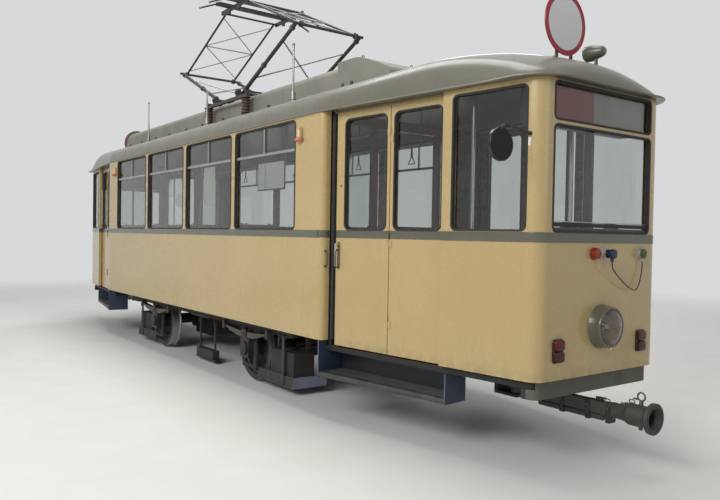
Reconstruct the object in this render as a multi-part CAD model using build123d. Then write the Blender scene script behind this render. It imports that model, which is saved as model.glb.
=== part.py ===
from build123d import *
import os
from math import cos, pi, radians, sin, sqrt, tan

# Bidirectional two-axle motor tram. Millimetres, +X towards the front, +Y left, +Z up.
# Heights are measured from the rail's top. At export all goes up by the flange's depth.

# Rail and wheels
GAUGE = 1435.0
GAUGE_PLAY = 10.0
FLANGE_DEPTH = 20.0
WHEELBASE = 2900.0
WHEEL_R = 380.0
TYRE_W = 95.0
TYRE_T = 58.0
FLANGE_T = 28.0
HUB_R = 95.0
AXLE_R = 62.0
JOURNAL_R = 45.0

# Body outline in plan
BODY_HW = 1100.0
SALOON_HL = 3260.0
SALOON_WALL_T = 60.0
JAMB_R = 60.0
DOORWAY_W = 1360.0
CAB_L = 880.0
PILLAR_X = SALOON_HL + DOORWAY_W
PILLAR_HW = 860.0
FRONT_X = PILLAR_X + CAB_L
TAPER = 7.5
CAB_WALL_T = 50.0
CAB_CORNER_R = 110.0
DOOR_RECESS = 54.0

# Heights
SKIRT_Z = 715.0
END_SKIRT_Z = 675.0
BELT_LOW_Z = 1670.0
BELT_HIGH_Z = 1735.0
BELT_PROUD = 4.0
WALL_TOP_Z = 2860.0
SALOON_FLOOR_Z = 860.0
PLATFORM_FLOOR_Z = 655.0
FLOOR_T = 42.0

# Clearances
FIT = 0.3
RUNNING = 0.05
SWING = 5.0

# Roof
ROOF_LIP_Z = 2835.0
ROOF_SIDE_LIP = 10.0
ROOF_END_LIP = 62.0
ROOF_FRONT_LIP = 35.0
ROOF_CORNER_R = 240.0
ROOF_SHOULDER_R = 2500.0
CROWN_Z = 3255.0
CROWN_R = 2500.0
ROOF_END_START = PILLAR_X - 320.0
ROOF_END_R = 2950.0
ROOF_EDGE_R = 200.0
ROOF_T = 42.0
BRIM_OUT = 55.0
BRIM_T = 14.0
BRIM_START = PILLAR_X + 380.0

# Windows
PANE_T = 6.0
REBATE = 12.0
POCKET_T = 32.0
SEAL_W = 16.0
SEAL_PROUD = 4.0
WINDOW_R = 55.0
SIDE_COUNT = 4
END_PIER = 478.0
WINDOW_POST = 88.0
SIDE_W = (2 * (SALOON_HL - END_PIER) - (SIDE_COUNT - 1) * WINDOW_POST) / SIDE_COUNT
SIDE_PITCH = SIDE_W + WINDOW_POST
SIDE_LOW_Z = 1740.0
SIDE_HIGH_Z = 2820.0
VENT_BAR_Z = 2530.0
VENT_BAR_H = 28.0
SCREEN_HW = 612.0
SCREEN_LOW_Z = 1742.0
SCREEN_HIGH_Z = 2522.0
BLIND_LOW_Z = 2545.0
BLIND_HIGH_Z = 2828.0
CAB_SIDE_LOW_Z = 1745.0
CAB_SIDE_HIGH_Z = 2800.0

# Doors: two leaves, one turning on the pillar, the other on the first one's free edge
DOOR_T = 40.0
DOOR_LOW_Z = 675.0
DOOR_HIGH_Z = 2824.0
LEAF_W = 618.0
LEAF_OVERHANG = 62.0
FREE_LEAF_END = 2 * LEAF_W + LEAF_OVERHANG
LEAF_GAP = 8.0
SEAM_OUT = 8.0
PIVOT_R = 10.0
PIVOT_LONG = 20.0
DOOR_WINDOW_W = 530.0
DOOR_WINDOW_LOW_Z = 1745.0
DOOR_WINDOW_HIGH_Z = 2755.0
DOOR_WINDOW_R = 60.0
KNUCKLE_R = 6.0
KNUCKLE_H = 60.0
HANDLE_Z = 1565.0
HANDLE_H = 110.0
HANDLE_OUT = 45.0
HANDLE_BAR_R = 8.0
HANDLE_STUB_R = 6.5

TAN_T = tan(radians(TAPER))
COS_T = cos(radians(TAPER))
seam_y = DOOR_T + SEAM_OUT
AXLE_X = WHEELBASE / 2
WHEEL_IN = (GAUGE - GAUGE_PLAY) / 2 - FLANGE_T
WHEEL_OUT = WHEEL_IN + FLANGE_T + TYRE_W


def platform_hw(x):
    """Half width of the cab side's outer face at a station x."""
    return PILLAR_HW + TAN_T * (PILLAR_X - x)


def outline(points, radii):
    """Closed face in XY from corner points, each corner with its own radius."""
    return make_face(FilletPolyline(*points, radius=radii, close=True))


def both_sides(points, radii):
    """Outline of the half y > 0, given from rear to front, mirrored to y < 0."""
    other = [(x, -y) for x, y in reversed(points)]
    return outline(list(points) + other, list(radii) + list(reversed(radii)))


def four_quarters(points, radii):
    """Outline of the quarter x > 0, y > 0, from the middle to the front, mirrored twice."""
    rear = [(-x, y) for x, y in reversed(points)]
    return both_sides(rear + list(points), list(reversed(radii)) + list(radii))


def raised(face, low, high):
    """Prism on a plan face between two heights."""
    return Pos(0, 0, low) * extrude(face, high - low)


def block(x0, x1, y0, y1, z0, z1):
    """Box between two corners."""
    middle = Pos((x0 + x1) / 2, (y0 + y1) / 2, (z0 + z1) / 2)
    return middle * Box(abs(x1 - x0), abs(y1 - y0), abs(z1 - z0))


def upright(width, height, radius, thick):
    """Rounded plate that stands facing Y, centred on the origin."""
    return Rot(90, 0, 0) * extrude(RectangleRounded(width, height, radius), thick / 2, both=True)


def rod_y(radius, y0, y1, x, z):
    """Round bar along Y."""
    return Pos(x, (y0 + y1) / 2, z) * Rot(90, 0, 0) * Cylinder(radius, abs(y1 - y0))


def rod_x(radius, x0, x1, y, z):
    """Round bar along X."""
    return Pos((x0 + x1) / 2, y, z) * Rot(0, 90, 0) * Cylinder(radius, abs(x1 - x0))


def rod_z(radius, z0, z1, x, y):
    """Round bar along Z."""
    return Pos(x, y, (z0 + z1) / 2) * Cylinder(radius, z1 - z0)


def bar(start, end, radius):
    """Round bar between two points."""
    run = Line(start, end)
    return sweep(Plane(origin=run @ 0, z_dir=run % 0) * Circle(radius), path=run)


def placed(shape, side, end):
    """Copy of a piece made for the left front, moved to another side or end."""
    if side < 0 and end < 0:
        return Rot(0, 0, 180) * shape
    if side < 0:
        return mirror(shape, about=Plane.XZ)
    if end < 0:
        return mirror(shape, about=Plane.YZ)
    return shape


def total(pieces):
    """One compound of solids that don't touch."""
    solids = []
    for piece in pieces:
        solids.extend(piece.solids())
    return Compound(children=solids)


def joined(pieces):
    """One solid of pieces that meet."""
    whole = pieces[0]
    for piece in pieces[1:]:
        whole = whole + piece
    return whole


def at_ends(shape):
    """A piece of the front end and its copy, turned by half a turn, at the rear."""
    return [shape, Rot(0, 0, 180) * shape]


def at_corners(shape):
    """A piece of the left front and its three mirrored copies."""
    return [placed(shape, side, end) for end in (1, -1) for side in (1, -1)]


nodes = {}

# Windows: pocket and way through in a wall, pane on the pocket's floor, seal in front of it


def window_cut(width, height, radius, wall):
    """Tool that cuts a window into a wall whose outer face lies at y = 0, body at y < 0."""
    pocket = Pos(0, -POCKET_T / 2 + 1, 0) * upright(width, height, radius, POCKET_T + 2)
    lip = 2 * REBATE
    through = Pos(0, -wall / 2, 0) * upright(width - lip, height - lip, radius - REBATE, wall + 20)
    return pocket + through


def window_pane(width, height, radius):
    """Pane that rests on the pocket's floor."""
    play = 2 * FIT
    plate = upright(width - play, height - play, radius - FIT, PANE_T)
    return Pos(0, -POCKET_T + PANE_T / 2, 0) * plate


def window_seal(width, height, radius):
    """Rubber ring in front of the pane."""
    play = 2 * FIT
    deep = POCKET_T - PANE_T + SEAL_PROUD
    ring = upright(width - play, height - play, radius - FIT, deep)
    inner = 2 * SEAL_W
    ring -= upright(width - inner, height - inner, radius - SEAL_W, deep + 2)
    return Pos(0, -POCKET_T + PANE_T + deep / 2, 0) * ring


# Where each window of the left side and of the front end sits, facing outwards
DOOR_FRAME_OUT = DOOR_T + DOOR_RECESS * COS_T
DOOR_FRAME = (
    Pos(PILLAR_X, PILLAR_HW, 0) * Rot(0, 0, -TAPER) * Pos(0, -DOOR_FRAME_OUT, 0)
)
CAB_WINDOW_X0 = 92.0
CAB_WINDOW_X1 = 778.0

side_h = SIDE_HIGH_Z - SIDE_LOW_Z
side_spots = []
for index in range(SIDE_COUNT):
    station = (index - (SIDE_COUNT - 1) / 2) * SIDE_PITCH
    side_spots.append(Pos(station, BODY_HW, (SIDE_LOW_Z + SIDE_HIGH_Z) / 2))

cab_h = CAB_SIDE_HIGH_Z - CAB_SIDE_LOW_Z
cab_w = CAB_WINDOW_X1 - CAB_WINDOW_X0
cab_spot = DOOR_FRAME * Pos(
    (CAB_WINDOW_X0 + CAB_WINDOW_X1) / 2, DOOR_FRAME_OUT, (CAB_SIDE_LOW_Z + CAB_SIDE_HIGH_Z) / 2
)
FACING_FRONT = Rot(0, 0, -90)
screen_spot = Pos(FRONT_X, 0, (SCREEN_LOW_Z + SCREEN_HIGH_Z) / 2) * FACING_FRONT
blind_spot = Pos(FRONT_X, 0, (BLIND_LOW_Z + BLIND_HIGH_Z) / 2) * FACING_FRONT
screen_w = 2 * SCREEN_HW
screen_h = SCREEN_HIGH_Z - SCREEN_LOW_Z
blind_h = BLIND_HIGH_Z - BLIND_LOW_Z
SCREEN_R = 45.0
CAB_SIDE_R = 50.0

# Saloon side walls with their turned-in jambs
door_line_y = platform_hw(SALOON_HL) - DOOR_RECESS - DOOR_T / COS_T
wall_points = [
    (-SALOON_HL, door_line_y),
    (-SALOON_HL, BODY_HW),
    (SALOON_HL, BODY_HW),
    (SALOON_HL, door_line_y),
    (SALOON_HL - SALOON_WALL_T, door_line_y),
    (SALOON_HL - SALOON_WALL_T, BODY_HW - SALOON_WALL_T),
    (-SALOON_HL + SALOON_WALL_T, BODY_HW - SALOON_WALL_T),
    (-SALOON_HL + SALOON_WALL_T, door_line_y),
]
wall_plan = outline(wall_points, [0, JAMB_R, JAMB_R, 0, 0, 0, 0, 0])
side_wall = raised(wall_plan, SKIRT_Z, WALL_TOP_Z)
belt_hl = SALOON_HL - JAMB_R
side_wall += block(-belt_hl, belt_hl, BODY_HW - 5, BODY_HW + BELT_PROUD, BELT_LOW_Z, BELT_HIGH_Z)
for spot in side_spots:
    side_wall -= spot * window_cut(SIDE_W, side_h, WINDOW_R, SALOON_WALL_T)
nodes["side_wall_left"] = side_wall
nodes["side_wall_right"] = Rot(0, 0, 180) * side_wall

# Cab ends: two sides and a flat front in one bent shell
inner_step = CAB_WALL_T / COS_T
inner_front = FRONT_X - CAB_WALL_T
end_points = [
    (PILLAR_X, platform_hw(PILLAR_X)),
    (FRONT_X, platform_hw(FRONT_X)),
    (FRONT_X, -platform_hw(FRONT_X)),
    (PILLAR_X, -platform_hw(PILLAR_X)),
    (PILLAR_X, -platform_hw(PILLAR_X) + inner_step),
    (inner_front, -platform_hw(inner_front) + inner_step),
    (inner_front, platform_hw(inner_front) - inner_step),
    (PILLAR_X, platform_hw(PILLAR_X) - inner_step),
]
inner_r = CAB_CORNER_R - CAB_WALL_T
end_plan = outline(end_points, [0, CAB_CORNER_R, CAB_CORNER_R, 0, 0, inner_r, inner_r, 0])
end_wall = raised(end_plan, END_SKIRT_Z, WALL_TOP_Z)
belt_front = FRONT_X + BELT_PROUD
belt_out = BELT_PROUD / COS_T
belt_points = [
    (PILLAR_X, platform_hw(PILLAR_X) + belt_out),
    (belt_front, platform_hw(belt_front) + belt_out),
    (belt_front, -platform_hw(belt_front) - belt_out),
    (PILLAR_X, -platform_hw(PILLAR_X) - belt_out),
    (PILLAR_X, -platform_hw(PILLAR_X) + 5),
    (FRONT_X - 5, -platform_hw(FRONT_X) + 5),
    (FRONT_X - 5, platform_hw(FRONT_X) - 5),
    (PILLAR_X, platform_hw(PILLAR_X) - 5),
]
belt_r = CAB_CORNER_R + BELT_PROUD
belt_in_r = CAB_CORNER_R - 5
belt_plan = outline(belt_points, [0, belt_r, belt_r, 0, 0, belt_in_r, belt_in_r, 0])
end_wall += raised(belt_plan, BELT_LOW_Z, BELT_HIGH_Z)
end_wall -= screen_spot * window_cut(screen_w, screen_h, SCREEN_R, CAB_WALL_T)
end_wall -= blind_spot * window_cut(screen_w, blind_h, SCREEN_R, CAB_WALL_T)
for side in (1, -1):
    end_wall -= placed(cab_spot * window_cut(cab_w, cab_h, CAB_SIDE_R, CAB_WALL_T), side, 1)
nodes["end_wall_front"] = end_wall
nodes["end_wall_rear"] = Rot(0, 0, 180) * end_wall

# Glass and seals of the body's windows
side_panes = [spot * window_pane(SIDE_W, side_h, WINDOW_R) for spot in side_spots]
side_seals = [spot * window_seal(SIDE_W, side_h, WINDOW_R) for spot in side_spots]
end_panes = [
    screen_spot * window_pane(screen_w, screen_h, SCREEN_R),
    blind_spot * window_pane(screen_w, blind_h, SCREEN_R),
]
end_seals = [
    screen_spot * window_seal(screen_w, screen_h, SCREEN_R),
    blind_spot * window_seal(screen_w, blind_h, SCREEN_R),
]
for side in (1, -1):
    end_panes.append(placed(cab_spot * window_pane(cab_w, cab_h, CAB_SIDE_R), side, 1))
    end_seals.append(placed(cab_spot * window_seal(cab_w, cab_h, CAB_SIDE_R), side, 1))
nodes["side_glass"] = total(side_panes + [Rot(0, 0, 180) * pane for pane in side_panes])
nodes["end_glass"] = total(end_panes + [Rot(0, 0, 180) * pane for pane in end_panes])
seals = side_seals + end_seals
seals += [Rot(0, 0, 180) * seal for seal in seals]

# Sliding vents' bars: a rail across each side window and a divider above it
vent_y0 = BODY_HW - POCKET_T + PANE_T
vent_y1 = vent_y0 + 16
vent_hw = SIDE_W / 2 - SEAL_W - FIT
vent_top = SIDE_HIGH_Z - SEAL_W - FIT
VENT_DIVIDER_W = 24.0
vents = []
for index in range(SIDE_COUNT):
    station = (index - (SIDE_COUNT - 1) / 2) * SIDE_PITCH
    rail = block(
        station - vent_hw, station + vent_hw, vent_y0, vent_y1,
        VENT_BAR_Z - VENT_BAR_H / 2, VENT_BAR_Z + VENT_BAR_H / 2,
    )
    rail += block(
        station - VENT_DIVIDER_W / 2, station + VENT_DIVIDER_W / 2,
        vent_y0, vent_y1, VENT_BAR_Z, vent_top,
    )
    vents.append(rail)
nodes["vent_bars"] = total(vents + [Rot(0, 0, 180) * vent for vent in vents])


# Roof: a crowned shell with domed ends, its rim hanging outside the walls
def roof_top(plan, low, crown_z, edge_r, crown_r, end_r):
    """Solid under the crowned roof surface, its upper rim rounded."""
    half = crown_r * 0.6
    drop = crown_r - sqrt(crown_r ** 2 - half ** 2)
    arc = ThreePointArc((-half, crown_z - drop), (0, crown_z), (half, crown_z - drop))
    floor_z = crown_z - end_r / 2
    sides = Polyline(
        (half, crown_z - drop), (half, floor_z), (-half, floor_z), (-half, crown_z - drop)
    )
    section = Plane.YZ * make_face([arc, *sides.edges()])
    middle = extrude(section, ROOF_END_START, both=True)
    axis = Axis((ROOF_END_START, 0, crown_z - end_r), (0, 1, 0))
    end = revolve(Pos(ROOF_END_START, 0, 0) * section, axis, 40)
    hood = middle + end + Rot(0, 0, 180) * end
    prism = raised(plan, low, crown_z + 50)
    top = prism & hood
    if edge_r:
        rim = top.edges().filter_by(lambda e: abs(e.center().Z - low) > 60)
        rim = [e for e in rim if e.bounding_box().size.Z < 300 and on_rim(e, plan)]
        top = fillet(rim, edge_r)
    return top


def on_rim(edge, plan):
    """True for an edge that lies above the plan's outline."""
    point = edge @ 0.5
    flat = Vector(point.X, point.Y, 0)
    return min(line.distance_to(Vertex(flat.X, flat.Y, 0)) for line in plan.edges()) < 1


roof_hw = BODY_HW + ROOF_SIDE_LIP
shoulder_x = PILLAR_X + (PILLAR_HW + ROOF_END_LIP - roof_hw) / TAN_T
roof_front = FRONT_X + ROOF_FRONT_LIP
roof_plan = four_quarters(
    [(shoulder_x, roof_hw), (roof_front, platform_hw(roof_front) + ROOF_END_LIP)],
    [ROOF_SHOULDER_R, ROOF_CORNER_R],
)
SOFFIT_IN = 150.0
cavity_hw = BODY_HW - SALOON_WALL_T
cavity_front = FRONT_X - CAB_WALL_T - 10
cavity_plan = four_quarters(
    [
        (SALOON_HL - SALOON_WALL_T, cavity_hw),
        (SALOON_HL - SALOON_WALL_T, platform_hw(SALOON_HL) - SOFFIT_IN),
        (cavity_front, platform_hw(cavity_front) - SOFFIT_IN),
    ],
    [0, 0, 150],
)
rebate_plan = four_quarters(
    [
        (SALOON_HL + FIT, BODY_HW + FIT),
        (SALOON_HL + FIT, platform_hw(SALOON_HL) + FIT),
        (FRONT_X + FIT, platform_hw(FRONT_X) + FIT),
    ],
    [JAMB_R + FIT, 0, CAB_CORNER_R + FIT],
)
roof = roof_top(roof_plan, ROOF_LIP_Z, CROWN_Z, ROOF_EDGE_R, CROWN_R, ROOF_END_R)
roof -= roof_top(
    cavity_plan, WALL_TOP_Z - 10, CROWN_Z - ROOF_T, 0, CROWN_R - ROOF_T, ROOF_END_R - ROOF_T
)
roof -= raised(rebate_plan, ROOF_LIP_Z - 10, WALL_TOP_Z)

# Door lintels with the slot that guides the free leaf
LINTEL_IN = 22.0
lintel_x0 = -FREE_LEAF_END - 45
lintel = DOOR_FRAME * block(
    lintel_x0, -3, -LINTEL_IN, DOOR_T, DOOR_HIGH_Z + SWING, WALL_TOP_Z
)
GUIDE_END = 230.0
guide_r = PIVOT_R + FIT
guide_far = 2 * sqrt(LEAF_W ** 2 + seam_y ** 2)
slot = DOOR_FRAME * (
    block(-guide_far, -GUIDE_END, -guide_r, guide_r, DOOR_HIGH_Z, WALL_TOP_Z - 8)
    + rod_z(guide_r, DOOR_HIGH_Z, WALL_TOP_Z - 8, -guide_far, 0)
)
pivot_hole = DOOR_FRAME * rod_z(PIVOT_R + RUNNING, DOOR_HIGH_Z, WALL_TOP_Z - 8, 0, 0)
bearing = DOOR_FRAME * rod_z(PIVOT_R + 12, DOOR_HIGH_Z + SWING, WALL_TOP_Z, 0, 0)
lintel = lintel + bearing - slot - pivot_hole
for copy in at_corners(lintel):
    roof += copy
brim_front = roof_front + BRIM_OUT
brim_hw = platform_hw(brim_front) + ROOF_END_LIP + BRIM_OUT
brim_in = platform_hw(BRIM_START) + ROOF_END_LIP - 8
brim_plan = both_sides(
    [(BRIM_START, brim_in), (brim_front, brim_hw)], [0, ROOF_CORNER_R + BRIM_OUT]
)
brim_hole = both_sides(
    [
        (BRIM_START - 5, platform_hw(BRIM_START - 5) + FIT),
        (FRONT_X + FIT, platform_hw(FRONT_X) + FIT),
    ],
    [0, CAB_CORNER_R + FIT],
)
brim = raised(brim_plan - brim_hole, ROOF_LIP_Z, ROOF_LIP_Z + BRIM_T)
for copy in at_ends(brim):
    roof += copy
nodes["roof"] = roof

# Floor: saloon deck, lower platforms and the risers between them
riser_x = SALOON_HL - 30
saloon_deck_hl = SALOON_HL - SALOON_WALL_T - FIT
saloon_deck = block(
    -saloon_deck_hl, saloon_deck_hl, -cavity_hw + FIT, cavity_hw - FIT,
    SALOON_FLOOR_Z - FLOOR_T, SALOON_FLOOR_Z,
)
DECK_EDGE = 5.0
deck_front = FRONT_X - CAB_WALL_T - DECK_EDGE
deck_points = [
    (riser_x - FLOOR_T, platform_hw(riser_x) - DOOR_RECESS),
    (deck_front, platform_hw(deck_front) - DOOR_RECESS),
]
deck_plan = both_sides(deck_points, [0, 60])
platform = raised(deck_plan, PLATFORM_FLOOR_Z - FLOOR_T, PLATFORM_FLOOR_Z)
riser_hw = door_line_y - FIT
platform += block(
    riser_x - FLOOR_T, riser_x, -riser_hw, riser_hw, PLATFORM_FLOOR_Z - FLOOR_T, SALOON_FLOOR_Z
)
pit = DOOR_FRAME * rod_z(
    PIVOT_R + RUNNING, PLATFORM_FLOOR_Z - FLOOR_T + 8, PLATFORM_FLOOR_Z + 5, 0, 0
)
for side in (1, -1):
    platform -= placed(pit, side, 1)
nodes["floor"] = joined([saloon_deck] + at_ends(platform))

# Door leaves, made in the doorway's own frame: x from the pillar, y outwards, pivot at 0, 0
window_mid_z = (DOOR_WINDOW_LOW_Z + DOOR_WINDOW_HIGH_Z) / 2
window_tall = DOOR_WINDOW_HIGH_Z - DOOR_WINDOW_LOW_Z
SEAM_X = -LEAF_W
KNUCKLES_Z = (900.0, 1600.0, 2500.0)
PILLAR_EDGE = 4.0
LEAF_STILE = 38.0
pillar_leaf_x0 = SEAM_X + LEAF_GAP / 2
pillar_window_x = (pillar_leaf_x0 - PILLAR_EDGE) / 2
free_leaf_x1 = SEAM_X - LEAF_GAP / 2
free_window_x = free_leaf_x1 - LEAF_STILE - DOOR_WINDOW_W / 2


def door_window(x):
    """Place of a leaf's window, facing outwards."""
    return Pos(x, DOOR_T, window_mid_z)


def knuckles(direction, low):
    """Half of the seam's hinges: a barrel and its flap on one leaf."""
    pieces = []
    for z in KNUCKLES_Z:
        start = z + low * (KNUCKLE_H + FIT)
        barrel = rod_z(KNUCKLE_R, start, start + KNUCKLE_H, SEAM_X, seam_y)
        reach = SEAM_X + direction * 34
        flap = block(SEAM_X, reach, DOOR_T - 1, DOOR_T + SEAM_OUT - 2, start, start + KNUCKLE_H)
        pieces.append(barrel + flap)
    return pieces


pillar_leaf = block(pillar_leaf_x0, -PILLAR_EDGE, 0, DOOR_T, DOOR_LOW_Z, DOOR_HIGH_Z)
pillar_leaf -= door_window(pillar_window_x) * window_cut(
    DOOR_WINDOW_W, window_tall, DOOR_WINDOW_R, DOOR_T
)
pivot_low = PLATFORM_FLOOR_Z - PIVOT_LONG
pivot_high = DOOR_HIGH_Z + PIVOT_LONG
pillar_leaf += rod_z(PIVOT_R, pivot_low, DOOR_LOW_Z + 60, 0, 0)
pillar_leaf += rod_z(PIVOT_R, DOOR_HIGH_Z - 60, pivot_high, 0, 0)
pillar_leaf = joined([pillar_leaf] + knuckles(1, 0))
free_leaf = block(-FREE_LEAF_END, free_leaf_x1, 0, DOOR_T, DOOR_LOW_Z, DOOR_HIGH_Z)
free_leaf -= door_window(free_window_x) * window_cut(
    DOOR_WINDOW_W, window_tall, DOOR_WINDOW_R, DOOR_T
)
guide_x = -2 * LEAF_W
free_leaf += rod_z(PIVOT_R, DOOR_HIGH_Z - 60, pivot_high, guide_x, 0)
handle_x = -FREE_LEAF_END + 40
handle_bar = rod_z(
    HANDLE_BAR_R, HANDLE_Z - HANDLE_H / 2, HANDLE_Z + HANDLE_H / 2, handle_x, DOOR_T + HANDLE_OUT
)
for level in (-1, 1):
    stub_z = HANDLE_Z + level * (HANDLE_H / 2 - 2 * HANDLE_STUB_R)
    handle_bar += rod_y(HANDLE_STUB_R, DOOR_T - 5, DOOR_T + HANDLE_OUT, handle_x, stub_z)
free_leaf = joined([free_leaf, handle_bar] + knuckles(-1, 1))
pane = window_pane(DOOR_WINDOW_W, window_tall, DOOR_WINDOW_R)

# Doorways: name, side, end
DOORWAYS = (
    ("front_left", 1, 1),
    ("front_right", -1, 1),
    ("rear_left", 1, -1),
    ("rear_right", -1, -1),
)
for name, side, end in DOORWAYS:
    nodes["door_pillar_leaf_" + name] = placed(DOOR_FRAME * pillar_leaf, side, end)
    nodes["door_free_leaf_" + name] = placed(DOOR_FRAME * free_leaf, side, end)
    pillar_pane = DOOR_FRAME * door_window(pillar_window_x) * pane
    free_pane = DOOR_FRAME * door_window(free_window_x) * pane
    nodes["door_pillar_glass_" + name] = placed(pillar_pane, side, end)
    nodes["door_free_glass_" + name] = placed(free_pane, side, end)

# Door seals: a rubber strip on the saloon wall's jamb beside the free leaf
SEAL_STRIP = 44.0
STRIP_T = 42.0
strip = block(
    SALOON_HL, SALOON_HL + SEAL_STRIP - SWING, door_line_y, door_line_y + STRIP_T,
    SKIRT_Z + SWING, ROOF_LIP_Z - 2 * SWING,
)
nodes["rubber_seals"] = total(seals + at_corners(strip))

# Step boxes under the doorways: tread, riser and two cheeks in the doorway's frame
STEP_HIGH_Z = 420.0
STEP_T = 50.0
STEP_FRONT_OUT = -6.0
STEP_REAR_OUT = 48.0
STEP_DEPTH = 265.0
STEP_CHEEK = 14.0
STEP_NOSE_R = 22.0
flush_y = DOOR_T + DOOR_RECESS
step_y0 = flush_y - STEP_DEPTH
step_x0 = -FREE_LEAF_END - 120
step_x1 = 70.0
deck_low = PLATFORM_FLOOR_Z - FLOOR_T
step_front_y = flush_y + STEP_FRONT_OUT
step_rear_y = flush_y + STEP_REAR_OUT
well_plan = outline(
    [(step_x0, step_y0), (step_x1, step_y0), (step_x1, step_front_y), (step_x0, step_rear_y)],
    [0, 0, 0, 0],
)
step = raised(well_plan, STEP_HIGH_Z - STEP_T, STEP_HIGH_Z)
nose = [e for e in step.edges() if (e @ 0.5).Y > step_front_y and e.length > LEAF_W]
step = fillet(nose, STEP_NOSE_R)
well = raised(well_plan, STEP_HIGH_Z - STEP_T, deck_low)
step += well & block(step_x0, step_x1, step_y0, step_y0 + STEP_CHEEK, 0, deck_low)
for x in (step_x0, step_x1 - STEP_CHEEK):
    cheek = block(x, x + STEP_CHEEK, step_y0, step_rear_y, STEP_HIGH_Z - STEP_T, deck_low)
    step += well & cheek
apron = block(step_x0, step_x0 + STEP_CHEEK, DOOR_T + SWING, step_rear_y, deck_low - 1, SKIRT_Z)
step += raised(well_plan, deck_low - 1, SKIRT_Z) & apron
nodes["step_boxes"] = total(at_corners(DOOR_FRAME * step))

# Underframe: saloon sills, lower platform sills, cross beams and the end beams
SILL_Y = 500.0
SILL_T = 60.0
SILL_LOW_Z = 680.0
sill_top = SALOON_FLOOR_Z - FLOOR_T
sill_x = riser_x - FLOOR_T - 20
PLATFORM_SILL_Y = 380.0
PLATFORM_SILL_LOW_Z = 540.0
END_BEAM_IN = 40.0
END_BEAM_T = 60.0
END_BEAM_LOW_Z = 540.0
frame_pieces = []
for side in (1, -1):
    y0 = side * SILL_Y - SILL_T / 2
    frame_pieces.append(block(-sill_x, sill_x, y0, y0 + SILL_T, SILL_LOW_Z, sill_top))
BEAM_HL = 2480.0
BODY_SPRING_X = (1000.0, BEAM_HL - 330)
CROSS_X = (0.0, *BODY_SPRING_X, SALOON_HL - 360)
CROSS_LOW_Z = 740.0
cross_hw = cavity_hw - 10
for x in CROSS_X:
    for way in ((1, -1) if x else (1,)):
        frame_pieces.append(
            block(way * x - 30, way * x + 30, -cross_hw, cross_hw, CROSS_LOW_Z, sill_top)
        )
beam_out = FRONT_X - END_BEAM_IN
beam_in = beam_out - END_BEAM_T
bracket_x = PILLAR_X - 90
beam_y = platform_hw(beam_out) - END_BEAM_IN
end_beam = raised(
    outline(
        [(beam_in - 60, beam_y + 8), (beam_out, beam_y), (beam_out, -beam_y),
         (beam_in - 60, -beam_y - 8)],
        [0, 70, 70, 0],
    )
    - Pos(beam_in - 60, 0) * Rectangle(120, 2 * beam_y - 120),
    END_BEAM_LOW_Z, END_SKIRT_Z,
)
end_beam -= block(beam_in - 400, deck_front + FIT, -BODY_HW, BODY_HW, deck_low, END_SKIRT_Z + 5)
for side in (1, -1):
    y0 = side * PLATFORM_SILL_Y - SILL_T / 2
    end_beam += block(sill_x - 90, beam_out - 30, y0, y0 + SILL_T, PLATFORM_SILL_LOW_Z, deck_low)
    end_beam += block(sill_x - 90, sill_x, y0, y0 + SILL_T, PLATFORM_SILL_LOW_Z, sill_top)
    end_beam += block(
        bracket_x - 30, bracket_x + 30, y0, side * 560, deck_low - SILL_T, deck_low
    )
end_beam += block(sill_x - 60, sill_x, -SILL_Y, SILL_Y, SILL_LOW_Z, sill_top)
end_beam += block(
    bracket_x - 50, bracket_x + 50, -PLATFORM_SILL_Y, PLATFORM_SILL_Y, PLATFORM_SILL_LOW_Z, deck_low
)
COUPLER_PIN_X = PILLAR_X + 80
COUPLER_Z = 420.0
COUPLER_PIN_R = 25.0
DRAWBAR_H = 90.0
DRAWBAR_W = 70.0
yoke_t = 24.0
yoke_half = DRAWBAR_H / 2 + FIT
YOKE_X0 = COUPLER_PIN_X - 160
YOKE_HW = 90.0
yoke = block(YOKE_X0 - 30, YOKE_X0 + 5, -YOKE_HW, YOKE_HW,
             COUPLER_Z - yoke_half - yoke_t, PLATFORM_SILL_LOW_Z + 20)
for low in (COUPLER_Z - yoke_half - yoke_t, COUPLER_Z + yoke_half):
    yoke += block(YOKE_X0, COUPLER_PIN_X + 60, -YOKE_HW, YOKE_HW, low, low + yoke_t)
yoke += rod_z(COUPLER_PIN_R, COUPLER_Z - 80, COUPLER_Z + 80, COUPLER_PIN_X, 0)
end_beam += yoke
frame_pieces += at_ends(end_beam)
nodes["underframe"] = joined(frame_pieces)

# Wheelsets: turned wheels on a turned axle
ARM = WHEEL_R - TYRE_T
wheel_profile = [
    (0, WHEEL_IN - 30),
    (HUB_R, WHEEL_IN - 30),
    (HUB_R, WHEEL_IN + 20),
    (ARM - 40, WHEEL_IN + 45),
    (ARM - 20, WHEEL_IN),
    (WHEEL_R + FLANGE_DEPTH - 6, WHEEL_IN),
    (WHEEL_R + FLANGE_DEPTH, WHEEL_IN + 8),
    (WHEEL_R + FLANGE_DEPTH - 4, WHEEL_IN + 20),
    (WHEEL_R, WHEEL_IN + FLANGE_T),
    (WHEEL_R - 4, WHEEL_OUT),
    (ARM - 10, WHEEL_OUT),
    (ARM - 30, WHEEL_IN + 68),
    (HUB_R, WHEEL_IN + 50),
    (HUB_R, WHEEL_OUT + 5),
    (0, WHEEL_OUT + 5),
]
wheel_face = make_face(Polyline(*wheel_profile, close=True))
wheel = revolve(wheel_face, Axis.Y, 360)
journal_end = WHEEL_OUT + 115
axle_profile = [
    (0, 0), (AXLE_R, 0), (AXLE_R, WHEEL_IN), (AXLE_R, WHEEL_OUT + 12),
    (JOURNAL_R, WHEEL_OUT + 18), (JOURNAL_R, journal_end), (0, journal_end),
]
axle = revolve(make_face(Polyline(*axle_profile, close=True)), Axis.Y, 360)
half_set = wheel + axle
wheelset = half_set + mirror(half_set, about=Plane.XZ)
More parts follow.
